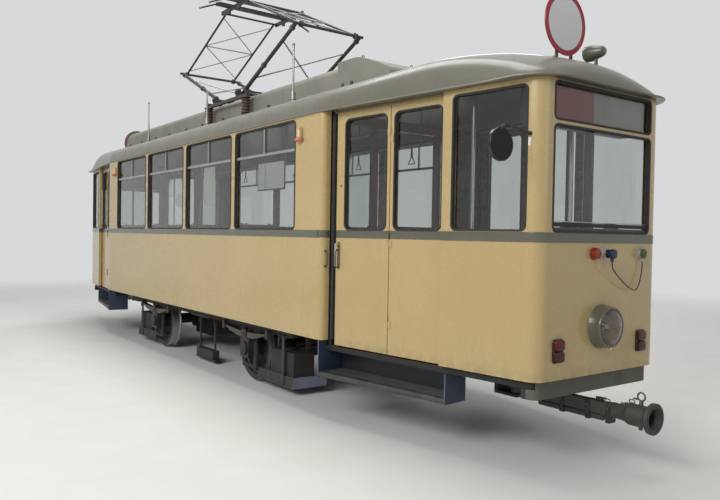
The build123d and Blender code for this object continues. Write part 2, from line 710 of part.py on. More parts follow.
nodes["wheelset_front"] = Pos(AXLE_X, 0, WHEEL_R) * wheelset
nodes["wheelset_rear"] = Pos(-AXLE_X, 0, WHEEL_R) * wheelset

# Axle boxes and guards
BOX_HW = 100.0
BOX_Y0 = WHEEL_OUT + 30
BOX_Y1 = journal_end + 25
BOX_LOW = 105.0
BOX_HIGH = 110.0
axle_box = block(
    AXLE_X - BOX_HW, AXLE_X + BOX_HW, BOX_Y0, BOX_Y1, WHEEL_R - BOX_LOW, WHEEL_R + BOX_HIGH
)
axle_box += rod_y(78, BOX_Y1 - 1, BOX_Y1 + 22, AXLE_X, WHEEL_R)
axle_box -= rod_y(JOURNAL_R + RUNNING, BOX_Y0 - 5, journal_end + 5, AXLE_X, WHEEL_R)
nodes["axle_boxes"] = total(at_corners(axle_box))

# Truck frame: side beams outside the wheels, axle guards, cross beams
BEAM_Y0 = BOX_Y0 + 20
BEAM_Y1 = BEAM_Y0 + 60
BEAM_LOW_Z = 620.0
BEAM_HIGH_Z = 700.0
GUARD_W = 70.0
GUARD_T = 24.0
GUARD_LOW_Z = 190.0
guard_x = BOX_HW + FIT
truck_side = block(-BEAM_HL, BEAM_HL, BEAM_Y0, BEAM_Y1, BEAM_LOW_Z, BEAM_HIGH_Z)
for way in (1, -1):
    for edge in (1, -1):
        x0 = way * AXLE_X + edge * guard_x
        x1 = x0 + edge * GUARD_W
        leg = block(x0, x1, BEAM_Y0, BEAM_Y0 + GUARD_T, GUARD_LOW_Z, BEAM_LOW_Z + 5)
        leg -= Pos(x0 + edge * GUARD_W / 2, BEAM_Y0 + 12, 530) * upright(26, 90, 12.9, 40)
        truck_side += leg
    truck_side += block(
        way * AXLE_X - guard_x - GUARD_W, way * AXLE_X + guard_x + GUARD_W,
        BEAM_Y0, BEAM_Y0 + GUARD_T, GUARD_LOW_Z - 40, GUARD_LOW_Z,
    )
truck = truck_side + mirror(truck_side, about=Plane.XZ)
TRUCK_CROSS_X = (AXLE_X - 830, BEAM_HL - 180)
CROSS_HW = 45.0
for x in TRUCK_CROSS_X:
    for way in (1, -1):
        truck += block(
            way * x - CROSS_HW, way * x + CROSS_HW, -BEAM_Y0 - 5, BEAM_Y0 + 5,
            BEAM_LOW_Z, BEAM_HIGH_Z - 25,
        )
nodes["truck_frame"] = truck

# Leaf springs over the axle boxes and the rubber blocks that carry the body
SPRING_HL = 560.0
LEAF_T = 13.0
LEAF_COUNT = 5
SPRING_TOP = BEAM_LOW_Z - FIT
SPRING_SAG = 34.0
PAD_T = 14.0
SPRING_W = 70.0
spring_y = BEAM_Y0 + GUARD_T + FIT + SPRING_W / 2
box_top = WHEEL_R + BOX_HIGH
spring = block(
    AXLE_X - 60, AXLE_X + 60, spring_y - SPRING_W / 2, spring_y + SPRING_W / 2,
    box_top, box_top + PAD_T + 4,
)
for index in range(LEAF_COUNT):
    reach = SPRING_HL - index * 82
    z = box_top + PAD_T + (LEAF_COUNT - 1 - index) * LEAF_T
    rise = SPRING_SAG * (reach / SPRING_HL) ** 2
    top_arc = ThreePointArc(
        (AXLE_X - reach, z + LEAF_T + rise), (AXLE_X, z + LEAF_T),
        (AXLE_X + reach, z + LEAF_T + rise),
    )
    low_arc = ThreePointArc((AXLE_X - reach, z + rise), (AXLE_X, z), (AXLE_X + reach, z + rise))
    tips = [
        Line((AXLE_X + way * reach, z + LEAF_T + rise), (AXLE_X + way * reach, z + rise))
        for way in (-1, 1)
    ]
    leaf = extrude(Plane.XZ * make_face([top_arc, low_arc, *tips]), SPRING_W / 2, both=True)
    spring += Pos(0, spring_y, 0) * leaf
eye_z = box_top + PAD_T + LEAF_COUNT * LEAF_T + SPRING_SAG
for way in (1, -1):
    x = AXLE_X + way * (SPRING_HL - 25)
    spring += block(
        x - 22, x + 22, spring_y - SPRING_W / 2, spring_y + SPRING_W / 2, eye_z - 20, SPRING_TOP
    )
body_springs = []
for x in BODY_SPRING_X:
    body_springs += at_corners(rod_z(48, BEAM_HIGH_Z, CROSS_LOW_Z, x, (BEAM_Y0 + BEAM_Y1) / 2))
nodes["springs"] = total(at_corners(spring) + body_springs)

# Motors: plain blocks hung between the wheels, one at each axle
MOTOR_HW = 330.0
MOTOR_X0 = AXLE_X - 640
MOTOR_X1 = AXLE_X - 90
MOTOR_LOW_Z = 190.0
MOTOR_HIGH_Z = 575.0
AXLE_TUBE_R = 118.0
NOSE_HW = 70.0
NOSE_LOW_Z = 500.0
motor = block(MOTOR_X0, MOTOR_X1, -MOTOR_HW, MOTOR_HW, MOTOR_LOW_Z, MOTOR_HIGH_Z)
motor += rod_y(AXLE_TUBE_R, -MOTOR_HW, MOTOR_HW, AXLE_X, WHEEL_R)
motor += block(MOTOR_X1 - 10, AXLE_X, -MOTOR_HW, MOTOR_HW, WHEEL_R - 110, WHEEL_R + 110)
motor -= rod_y(AXLE_R + RUNNING, -MOTOR_HW - 5, MOTOR_HW + 5, AXLE_X, WHEEL_R)
nose_x = TRUCK_CROSS_X[0]
motor += block(nose_x - 70, MOTOR_X0, -NOSE_HW, NOSE_HW, NOSE_LOW_Z, MOTOR_HIGH_Z)
motor += block(
    nose_x - CROSS_HW, nose_x + CROSS_HW, -NOSE_HW, NOSE_HW, NOSE_LOW_Z, BEAM_LOW_Z
)
nodes["motors"] = total(at_ends(motor))

# Wheel guards and sand boxes in front of the wheels
GUARD_Z0 = 60.0
GUARD_Z1 = 175.0
GUARD_OUT = WHEEL_OUT + 56
PLANK_T = 30.0
PLANK_X0 = AXLE_X + 182
PLANK_X1 = BEAM_HL - 90
PLANK_IN = 430.0
plank_points = [
    (PLANK_X0, GUARD_OUT), (PLANK_X1, GUARD_OUT), (PLANK_X1, PLANK_IN),
    (PLANK_X1 - PLANK_T, PLANK_IN), (PLANK_X1 - PLANK_T, GUARD_OUT - PLANK_T),
    (PLANK_X0, GUARD_OUT - PLANK_T),
]
plank = raised(outline(plank_points, [0, 0, 0, 0, 0, 0]), GUARD_Z0, GUARD_Z1)
STRAP_X = PLANK_X1 - 190
STRAP_T = 14.0
plank += block(
    STRAP_X - 25, STRAP_X + 25, GUARD_OUT - 4, GUARD_OUT - 4 + STRAP_T, GUARD_Z0 + 20, BEAM_LOW_Z
)
nodes["wheel_guards"] = total(at_corners(plank))
SAND_X0 = AXLE_X + WHEEL_R + 40
SAND_X1 = PLANK_X1 - PLANK_T
SAND_Y0 = 575.0
SAND_Y1 = GUARD_OUT - PLANK_T - FIT
SAND_HIGH_Z = 430.0
sand = block(SAND_X0, SAND_X1, SAND_Y0, SAND_Y1, GUARD_Z1 - 20, SAND_HIGH_Z)
hang = block(
    TRUCK_CROSS_X[1] - 30, TRUCK_CROSS_X[1] + 30, SAND_Y0 + 20, SAND_Y0 + 60,
    SAND_HIGH_Z - 5, BEAM_LOW_Z,
)
nodes["sand_boxes"] = total(at_corners(sand + hang))

# Track brakes between the wheels
BRAKE_HL = 300.0
BRAKE_Y = GAUGE / 2 + 28
brake = block(-BRAKE_HL, BRAKE_HL, BRAKE_Y - 32, BRAKE_Y + 32, 12, 40)
brake += block(-BRAKE_HL + 40, BRAKE_HL - 40, BRAKE_Y - 45, BRAKE_Y + 45, 40, 150)
for way in (1, -1):
    brake += rod_z(14, 145, BEAM_LOW_Z, way * 230, BRAKE_Y)
brake_bar = block(-280, 280, BRAKE_Y - 30, BEAM_Y0 + 10, BEAM_LOW_Z - 30, BEAM_LOW_Z)
brake_left = brake + brake_bar
nodes["track_brakes"] = total([brake_left, mirror(brake_left, about=Plane.XZ)])

# Couplers: a drawbar on its pin, a tube below it and a round head with a pin hole
HEAD_X = FRONT_X + 460
HEAD_R = 114.0
HEAD_RING_T = 26.0
NECK_R = 55.0
MOUTH_R = 62.0
MOUTH_DEEP = 190.0
COUPLING_PIN_R = 20.0
drawbar = block(
    COUPLER_PIN_X, HEAD_X - MOUTH_DEEP - 60, -DRAWBAR_W / 2, DRAWBAR_W / 2,
    COUPLER_Z - DRAWBAR_H / 2, COUPLER_Z + DRAWBAR_H / 2,
)
drawbar += rod_z(62, COUPLER_Z - DRAWBAR_H / 2, COUPLER_Z + DRAWBAR_H / 2, COUPLER_PIN_X, 0)
drawbar -= rod_z(
    COUPLER_PIN_R + RUNNING, COUPLER_Z - DRAWBAR_H, COUPLER_Z + DRAWBAR_H, COUPLER_PIN_X, 0
)
head_profile = [
    (0, HEAD_X - MOUTH_DEEP - 130),
    (NECK_R, HEAD_X - MOUTH_DEEP - 130),
    (NECK_R + 8, HEAD_X - MOUTH_DEEP - 40),
    (MOUTH_R + 18, HEAD_X - MOUTH_DEEP),
    (MOUTH_R + 18, HEAD_X - HEAD_RING_T - 30),
    (HEAD_R, HEAD_X - HEAD_RING_T),
    (HEAD_R, HEAD_X),
    (MOUTH_R + 20, HEAD_X),
    (MOUTH_R, HEAD_X - 40),
    (MOUTH_R, HEAD_X - MOUTH_DEEP + 20),
    (0, HEAD_X - MOUTH_DEEP + 20),
]
head = revolve(make_face(Polyline(*[(x, y) for y, x in head_profile], close=True)), Axis.X, 360)
head = Pos(0, 0, COUPLER_Z) * head
PIN_HOLE_X = HEAD_X - 110
head -= rod_z(COUPLING_PIN_R, COUPLER_Z - HEAD_R - 10, COUPLER_Z + HEAD_R + 10, PIN_HOLE_X, 0)
TUBE_R = 30.0
TUBE_Z = COUPLER_Z - DRAWBAR_H / 2 - TUBE_R + 4
tube = rod_x(TUBE_R, COUPLER_PIN_X + 240, HEAD_X - 420, 0, TUBE_Z)
coupler = drawbar + head + tube
nodes["coupler_front"] = coupler
nodes["coupler_rear"] = Rot(0, 0, 180) * coupler

# Lamps, mirrors, sockets of an end
HEADLAMP_Z = 1035.0
LAMP_FOOT_R = 168.0
LAMP_RIM_R = 154.0
LAMP_OUT = 92.0
lens_arc = TangentArc((0, LAMP_OUT + 16), (LAMP_RIM_R - 10, LAMP_OUT), tangent=(1, 0))
lamp_shell = Polyline(
    (0, LAMP_OUT + 16), (0, 0), (LAMP_FOOT_R, 0), (LAMP_RIM_R, LAMP_OUT - 16),
    (LAMP_RIM_R, LAMP_OUT), (LAMP_RIM_R - 10, LAMP_OUT),
)
lamp = revolve(make_face([lens_arc, *lamp_shell.edges()]), Axis.Y, 360)
lamp_spot = Pos(FRONT_X, 0, HEADLAMP_Z) * FACING_FRONT
nodes["headlamps"] = total(at_ends(lamp_spot * lamp))

TAIL_Y = 520.0
TAIL_Z = 889.0
TAIL_W = 110.0
TAIL_H = 84.0
TAIL_BASE_T = 10.0
TAIL_OUT = 34.0
tail = block(
    FRONT_X, FRONT_X + TAIL_BASE_T, TAIL_Y - TAIL_W / 2 - 4, TAIL_Y + TAIL_W / 2 + 4,
    TAIL_Z - TAIL_H - 4, TAIL_Z + TAIL_H + 4,
)
for level in (-1, 1):
    lens_face = Plane.YZ * RectangleRounded(TAIL_W, TAIL_H - 3, 22)
    lens = extrude(lens_face, TAIL_OUT - TAIL_BASE_T + 1, taper=12)
    tail += Pos(FRONT_X + TAIL_BASE_T - 1, TAIL_Y, TAIL_Z + level * TAIL_H / 2) * lens
nodes["tail_lamps"] = total(at_corners(tail))

# Sockets on each front: name of the cap, y
SOCKET_Z = 1590.0
SOCKETS = (("red", -120.0), ("cable", 10.0), ("green", 490.0))
SOCKET_R = 34.0
SOCKET_OUT = 38.0
sockets = []
for cap, y in SOCKETS:
    socket = block(FRONT_X, FRONT_X + 10, y - 45, y + 45, SOCKET_Z - 45, SOCKET_Z + 45)
    socket += rod_x(SOCKET_R, FRONT_X + 9, FRONT_X + SOCKET_OUT, y, SOCKET_Z)
    if cap == "green":
        socket += rod_z(10, 1528, SOCKET_Z - SOCKET_R + 6, FRONT_X + 26, y)
    sockets.append(socket)
nodes["sockets"] = total([copy for socket in sockets for copy in at_ends(socket)])

TURN_X = SALOON_HL - 380
TURN_Z = 2660.0
TURN_AXIS = 20.0
turn_shell = Polyline(
    (0, 70), (0, -70), (40, -70), (50, -58), (50, -46), (30, -24), (28, 46), (14, 70), close=True
)
turn_lamp = revolve(Plane.XZ * make_face(turn_shell), Axis.Z, 360)
turn_lamp = Pos(TURN_X, BODY_HW + TURN_AXIS, TURN_Z) * turn_lamp
turn_lamp -= block(
    TURN_X - 80, TURN_X + 80, BODY_HW - 80, BODY_HW, TURN_Z - 80, TURN_Z + 80
)
nodes["turn_signals"] = total(at_corners(turn_lamp))

MIRROR_X = FRONT_X - 110
MIRROR_Y = -1040.0
MIRROR_Z = 2340.0
MIRROR_R = 117.0
glass_back = rod_x(MIRROR_R, MIRROR_X - 14, MIRROR_X + 14, MIRROR_Y, MIRROR_Z)
arm_foot = (MIRROR_X + 20, -platform_hw(MIRROR_X + 20) + 2, MIRROR_Z + 100)
arm_tip = (MIRROR_X + 8, MIRROR_Y + 10, MIRROR_Z + 100)
arm = bar(arm_foot, arm_tip, 9)
arm += bar(arm_tip, (MIRROR_X, MIRROR_Y, MIRROR_Z + 20), 9)
foot_spot = Pos(arm_foot[0], -platform_hw(arm_foot[0]) - 8, arm_foot[2])
foot = foot_spot * Rot(90, 0, TAPER) * Cylinder(16, 20)
rear_view = joined([glass_back, arm, foot])
rear_view -= raised(end_plan, MIRROR_Z, MIRROR_Z + 300)
nodes["mirrors"] = total(at_ends(rear_view))

# Roof equipment
COVER_X0 = 90 - PILLAR_X
COVER_X1 = SALOON_HL - 740
COVER_HW = 420.0
COVER_FOOT_Z = 3150.0
COVER_TOP_Z = 3500.0


def crown_at(x, y):
    """Height of the roof's surface."""
    drop = CROWN_R - sqrt(CROWN_R ** 2 - y ** 2)
    past = max(0.0, abs(x) - ROOF_END_START)
    return CROWN_Z - drop - (ROOF_END_R - sqrt(ROOF_END_R ** 2 - past ** 2))


cover_section = [
    (-COVER_HW, COVER_FOOT_Z), (-COVER_HW, COVER_TOP_Z - 60), (-COVER_HW + 60, COVER_TOP_Z),
    (COVER_HW - 60, COVER_TOP_Z), (COVER_HW, COVER_TOP_Z - 60), (COVER_HW, COVER_FOOT_Z),
]
cover_face = Plane.YZ * outline(cover_section, [0, 60, 60, 60, 60, 0])
low_cover = Pos(COVER_X0, 0, 0) * extrude(cover_face, COVER_X1 - COVER_X0)
SLANT = 240.0
slant_z = COVER_FOOT_Z + 40
wedge = Plane.XZ * make_face(
    Polyline(
        (COVER_X0, slant_z), (COVER_X0 + SLANT, COVER_TOP_Z + 5),
        (COVER_X0 - 50, COVER_TOP_Z + 5), (COVER_X0 - 50, slant_z), close=True,
    )
)
low_cover -= extrude(wedge, COVER_HW + 50, both=True)
TALL_X1 = COVER_X1 + 890
TALL_TOP_Z = 3525.0
TALL_HW = 440.0
TALL_BREAK_X = COVER_X1 + 380
tall_side = outline(
    [
        (COVER_X1, COVER_FOOT_Z), (COVER_X1, TALL_TOP_Z), (TALL_BREAK_X, TALL_TOP_Z),
        (TALL_X1, TALL_TOP_Z - 200), (TALL_X1, COVER_FOOT_Z),
    ],
    [0, 20, 700, 110, 0],
)
tall_cover = extrude(Plane.XZ * tall_side, TALL_HW, both=True)
crown_drum = Pos(0, 0, CROWN_Z - CROWN_R) * Rot(0, 90, 0) * Cylinder(CROWN_R, 2 * ROOF_END_START)
low_cover -= crown_drum
low_cover -= nodes["roof"]
tall_cover -= crown_drum
low_cover = max(low_cover.solids(), key=lambda piece: piece.volume)
tall_cover = max(tall_cover.solids(), key=lambda piece: piece.volume)
nodes["roof_covers"] = total([low_cover, tall_cover])

# Roof posts: station, height of the tip
POSTS = ((0.0, 3560.0), (2210.0, 3720.0), (-2210.0, 3720.0))
POST_Y = 800.0
POST_R = 12.0
posts = []
for x, tip in POSTS:
    seat = crown_at(x, POST_Y)
    post = rod_z(26, seat - 20, seat + 90, x, POST_Y)
    post += rod_z(POST_R, seat, tip, x, POST_Y)
    post -= crown_drum
    posts += [post, mirror(post, about=Plane.XZ)]
nodes["roof_posts"] = total(posts)

# Round signs on the roof ends and their lamps
SIGN_X = FRONT_X - 400
SIGN_R = 250.0
SIGN_Z = 3425.0
SIGN_T = 8.0
sign = rod_x(SIGN_R, SIGN_X, SIGN_X + SIGN_T, 0, SIGN_Z)
for y in (-90.0, 90.0):
    sign_foot = crown_at(SIGN_X, y)
    sign += block(SIGN_X - 12, SIGN_X, y - 15, y + 15, sign_foot - 40, SIGN_Z + 120)
    sign += block(SIGN_X - 120, SIGN_X, y - 15, y + 15, sign_foot - 40, sign_foot + 14)
roof_copy = roof_top(roof_plan, ROOF_LIP_Z, CROWN_Z, 0, CROWN_R, ROOF_END_R)
sign -= roof_copy
sign = max(sign.solids(), key=lambda piece: piece.volume)
SIGN_LAMP_Y = 280.0
SIGN_LAMP_Z = 3222.0
lamp_bell = Polyline((0, 0), (64, 0), (64, 50), (42, 150), (26, 170), (0, 170), close=True)
sign_lamp = revolve(make_face(lamp_bell), Axis.Y, 360)
sign_lamp = Pos(SIGN_X + 10, SIGN_LAMP_Y, SIGN_LAMP_Z) * FACING_FRONT * sign_lamp
post_x = SIGN_X + 100
sign_lamp += rod_z(14, crown_at(post_x, SIGN_LAMP_Y) - 40, SIGN_LAMP_Z, post_x, SIGN_LAMP_Y)
sign_lamp -= roof_copy
sign_lamp = max(sign_lamp.solids(), key=lambda piece: piece.volume)
nodes["roof_signs"] = total(at_ends(sign) + at_ends(sign_lamp))

# Pantograph: base, two lower frames, two upper frames and the head, a true rhombus
PANTO_Y = 520.0
PANTO_BASE_X = 348.0
PANTO_BASE_Z = 3530.0
PANTO_KNEE_X = 1680.0
PANTO_KNEE_Z = 4140.0
PANTO_HEAD_Z = 2 * PANTO_KNEE_Z - PANTO_BASE_Z
PANTO_SHAFT_R = 22.0
ARM_R = 24.0
UPPER_R = 15.0
HEAD_Y = 380.0
BASE_HL = 620.0
BASE_BAR_HW = 25.0
BASE_FOOT_X = 560.0
BASE_FOOT_R = 40.0
base_low = PANTO_BASE_Z - 85
tie_x = BASE_HL - 20
tie_top = PANTO_BASE_Z - 9
base_bars = []
for side in (1, -1):
    y0 = side * PANTO_Y - BASE_BAR_HW
    y1 = side * PANTO_Y + BASE_BAR_HW
    base_bars.append(block(-BASE_HL, BASE_HL, y0, y1, base_low, base_low + 40))
    for way in (1, -1):
        x = way * PANTO_BASE_X
        base_bars.append(block(x - 30, x + 30, y0, y1, base_low + 35, PANTO_BASE_Z + 40))
        x = way * tie_x
        base_bars.append(block(x - 20, x + 20, y0, y1, base_low + 35, tie_top))
        foot_low = crown_at(BASE_FOOT_X, PANTO_Y) - 30
        foot = rod_z(BASE_FOOT_R, foot_low, base_low, way * BASE_FOOT_X, side * PANTO_Y)
        base_bars.append(foot - crown_drum)
for way in (1, -1):
    x = way * tie_x
    base_bars.append(block(x - 20, x + 20, -PANTO_Y, PANTO_Y, tie_top - 16, tie_top))
base = joined(base_bars)
for x in (PANTO_BASE_X, -PANTO_BASE_X):
    base -= rod_y(PANTO_SHAFT_R + RUNNING, -PANTO_Y - 60, PANTO_Y + 60, x, PANTO_BASE_Z)
nodes["pantograph_base"] = base

lower = rod_y(PANTO_SHAFT_R, -PANTO_Y - 45, PANTO_Y + 45, PANTO_BASE_X, PANTO_BASE_Z)
lower_y = PANTO_Y - 60
knee_tube_y = PANTO_Y - 20
for side in (1, -1):
    y = side * lower_y
    lower += bar((PANTO_BASE_X, y, PANTO_BASE_Z), (PANTO_KNEE_X, y, PANTO_KNEE_Z), ARM_R)
lower += rod_y(18, -knee_tube_y, knee_tube_y, PANTO_KNEE_X, PANTO_KNEE_Z)
upper = rod_y(14, -HEAD_Y - 20, HEAD_Y + 20, PANTO_BASE_X, PANTO_HEAD_Z)
for side in (1, -1):
    eye = rod_y(34, side * (lower_y - 50), side * (lower_y - 85), PANTO_KNEE_X, PANTO_KNEE_Z)
    knee_end = (PANTO_KNEE_X, side * (lower_y - 67), PANTO_KNEE_Z)
    upper += eye + bar(knee_end, (PANTO_BASE_X, side * HEAD_Y, PANTO_HEAD_Z), UPPER_R)
upper -= rod_y(18 + RUNNING, -knee_tube_y - 5, knee_tube_y + 5, PANTO_KNEE_X, PANTO_KNEE_Z)
nodes["pantograph_lower_front"] = lower
nodes["pantograph_lower_rear"] = Rot(0, 0, 180) * lower
nodes["pantograph_upper_front"] = upper
nodes["pantograph_upper_rear"] = Rot(0, 0, 180) * upper

HEAD_BAR_Y = 620.0
HORN_Y = 850.0
head_pieces = []
for side in (1, -1):
    y = side * (HEAD_Y + 45)
    reach = PANTO_BASE_X + 30
    head_pieces.append(
        block(-reach, reach, y - 12, y + 12, PANTO_HEAD_Z - 26, PANTO_HEAD_Z + 26)
    )
for way in (1, -1):
    x = way * 150
    head_pieces.append(
        block(x - 22, x + 22, -HEAD_BAR_Y, HEAD_BAR_Y, PANTO_HEAD_Z + 20, PANTO_HEAD_Z + 60)
    )
    for side in (1, -1):
        horn_start = (x, side * (HEAD_BAR_Y - 10), PANTO_HEAD_Z + 42)
        head_pieces.append(bar(horn_start, (x, side * HORN_Y, PANTO_HEAD_Z - 60), 12))
head_frame = joined(head_pieces)
front_hole = rod_y(14 + RUNNING, -HEAD_Y - 80, HEAD_Y + 80, PANTO_BASE_X, PANTO_HEAD_Z)
rear_hole = rod_y(14 + 8, -HEAD_Y - 80, HEAD_Y + 80, -PANTO_BASE_X, PANTO_HEAD_Z)
nodes["pantograph_head"] = head_frame - front_hole - rear_hole
head_pin_tip = HEAD_Y + 45 + 12
for key in ("pantograph_upper_front", "pantograph_upper_rear"):
    way = 1 if key.endswith("front") else -1
    nodes[key] = nodes[key] + rod_y(14, -head_pin_tip, head_pin_tip, way * PANTO_BASE_X, PANTO_HEAD_Z)

# Interior: partitions, seats, handrails, controllers
PARTITION_X = SALOON_HL - SALOON_WALL_T - 40
partition = block(
    PARTITION_X - 20, PARTITION_X + 20, -cavity_hw + FIT, cavity_hw - FIT, SALOON_FLOOR_Z, WALL_TOP_Z
)
partition -= block(PARTITION_X - 30, PARTITION_X + 30, -380, 380, SALOON_FLOOR_Z - 5, 2760)
for side in (1, -1):
    partition -= Pos(PARTITION_X, side * 700, 2270) * Rot(0, 0, 90) * upright(500, 1000, 50, 60)
nodes["partitions"] = total(at_ends(partition))

SEAT_Z = 440.0
SEAT_D = 420.0
BACK_H = 480.0
SEAT_END = 560.0
SEAT_FACING = 1170.0
SEAT_BAYS = 4
first_row = SEAT_END - SALOON_HL
bay_pitch = (-2 * first_row - SEAT_FACING) / (SEAT_BAYS - 1)
seat_rows = [first_row + index * bay_pitch for index in range(SEAT_BAYS)]
SEAT_COLUMNS = ((130.0, 980.0), (-980.0, -560.0))
seats = []
for row in seat_rows:
    for face in (1, -1):
        for y0, y1 in SEAT_COLUMNS:
            x = row + (0 if face > 0 else SEAT_FACING)
            seat_z = SALOON_FLOOR_Z + SEAT_Z
            piece = block(x, x + face * SEAT_D, y0, y1, seat_z - 60, seat_z)
            piece += block(x, x - face * 45, y0, y1, seat_z - 60, seat_z + BACK_H)
            for leg_y in (y0 + 60, y1 - 60):
                for leg_x in (x + face * 50, x + face * (SEAT_D - 50)):
                    piece += rod_z(14, SALOON_FLOOR_Z, seat_z - 50, leg_x, leg_y)
            seats.append(piece)
nodes["seats"] = total(seats)

RAIL_Y = 420.0
RAIL_Z = 2700.0
rail_hl = PARTITION_X - 20
rails = []
for side in (1, -1):
    rail = rod_x(16, -rail_hl, rail_hl, side * RAIL_Y, RAIL_Z)
    rails.append(rail)
nodes["handrails"] = total(rails)

DESK_X = FRONT_X - 350
DESK_Y = 330.0
CONTROLLER_R = 150.0
CONTROLLER_LID_Z = 1580.0
CONTROLLER_TOP_Z = 1640.0
CRANK_Z = 1700.0
CRANK_L = 190.0
controller = rod_z(CONTROLLER_R, PLATFORM_FLOOR_Z, CONTROLLER_LID_Z + 20, DESK_X, DESK_Y)
controller += rod_z(CONTROLLER_R + 10, CONTROLLER_LID_Z, CONTROLLER_TOP_Z, DESK_X, DESK_Y)
controller += rod_z(14, CONTROLLER_TOP_Z, CRANK_Z + 10, DESK_X, DESK_Y)
controller += block(
    DESK_X - 15, DESK_X + 15, DESK_Y - CRANK_L - 10, DESK_Y + 15, CRANK_Z - 10, CRANK_Z + 12
)
controller += rod_z(20, CRANK_Z + 5, CRANK_Z + 100, DESK_X, DESK_Y - CRANK_L)
HANDWHEEL_R = 170.0
HANDWHEEL_Z = 1530.0
brake_stand = rod_z(36, PLATFORM_FLOOR_Z, HANDWHEEL_Z + 10, DESK_X, -DESK_Y)
brake_stand += Pos(DESK_X, -DESK_Y, HANDWHEEL_Z) * Torus(HANDWHEEL_R, 14)
for spoke in (0, 90):
    spoke_bar = Rot(0, 0, spoke) * Box(2 * HANDWHEEL_R, 22, 14)
    brake_stand += Pos(DESK_X, -DESK_Y, HANDWHEEL_Z) * spoke_bar
nodes["controllers"] = total(at_ends(controller) + at_ends(brake_stand))

# Plug in the cable socket and the cable that hangs from it to the green socket: its route
# in columns of distance from the front, y and z
PLUG_R = 27.0
PLUG_X0 = FRONT_X + SOCKET_OUT
PLUG_X1 = FRONT_X + 120
plug = rod_x(PLUG_R, PLUG_X0, PLUG_X1 - 20, 10, SOCKET_Z)
plug += rod_z(13, SOCKET_Z - 60, SOCKET_Z, PLUG_X1 - 45, 10)
nodes["plug"] = plug
CORD_R = 4.5
CORD_ROUTE = (
    (75.0, 10.0, 1530.0), (75.0, 10.0, 1492.0), (70.0, 52.0, 1452.0), (62.0, 140.0, 1396.0),
    (54.0, 235.0, 1345.0), (47.0, 320.0, 1308.0), (41.0, 380.0, 1300.0), (36.0, 428.0, 1330.0),
    (31.0, 462.0, 1390.0), (27.0, 484.0, 1446.0), (26.0, 490.0, 1488.0), (26.0, 490.0, 1528.0),
)
cord_points = [Vector(FRONT_X + out, y, z) for out, y, z in CORD_ROUTE]
radii = []
for before, here, after in zip(cord_points, cord_points[1:], cord_points[2:]):
    run_in = here - before
    run_out = after - here
    turn = run_in.get_angle(run_out)
    radii.append(0.45 * min(run_in.length, run_out.length) / tan(radians(turn / 2)))
print("cord radii", [round(r) for r in radii])
cord_path = FilletPolyline(*cord_points, radius=radii)
cord = sweep(Plane(origin=cord_path @ 0, z_dir=cord_path % 0) * Circle(CORD_R), path=cord_path)
print("cord length", round(cord_path.length, 1), "volume ratio",
      round(cord.volume / (cord_path.length * pi * CORD_R ** 2), 4))
nodes["jumper_cable"] = cord

os.makedirs("parts", exist_ok=True)
LIFT = Pos(0, 0, FLANGE_DEPTH)
for name, shape in nodes.items():
    export_step(LIFT * shape, os.path.join("parts", name + ".step"))
    print(name, len(shape.solids()), "solids", round(shape.volume / 1e6, 2), "litres")
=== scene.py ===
"""Two-axle tram with folding doors: finishes, fittings and interior around the fixed frame."""

import logging
import math
from collections.abc import Iterable, Sequence
from dataclasses import dataclass
from enum import Enum

import bmesh
import bpy
from mathutils import Matrix, Vector


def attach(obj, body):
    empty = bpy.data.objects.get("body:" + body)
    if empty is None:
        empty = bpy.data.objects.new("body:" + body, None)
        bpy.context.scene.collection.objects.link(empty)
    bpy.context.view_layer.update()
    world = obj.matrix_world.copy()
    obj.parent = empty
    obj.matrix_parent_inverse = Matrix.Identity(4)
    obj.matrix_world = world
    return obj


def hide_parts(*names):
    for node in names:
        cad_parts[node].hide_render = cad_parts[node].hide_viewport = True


log = logging.getLogger("tram")

Point = tuple[float, float, float]
Flat = tuple[float, float]
Colour = tuple[int, int, int]
Shape = bmesh.types.BMesh
Nodes = dict[str, bpy.types.Object]
Socket = bpy.types.NodeSocket

RAIL = 0.020
CARBODY = "carbody"
ENDS = (1, -1)
SIDES = (1, -1)
PILLAR: Flat = (4.620, 0.860)
TAPER = math.radians(7.5)
DOOR_WALL = PILLAR[0] * math.sin(TAPER) + PILLAR[1] * math.cos(TAPER)
DOOR_RECESS = 0.054
LEAF_THICK = 0.040


def linear(colour: Colour) -> tuple[float, float, float, float]:
    """Turn a screen colour into the renderer's own values.

    Args:
        colour: Red, green and blue from 0 to 255.

    Returns:
        The linear colour with full alpha.
    """
    parts = [c / 255 for c in colour]
    return tuple(p / 12.92 if p <= 0.04045 else ((p + 0.055) / 1.055) ** 2.4 for p in parts) + (1.0,)


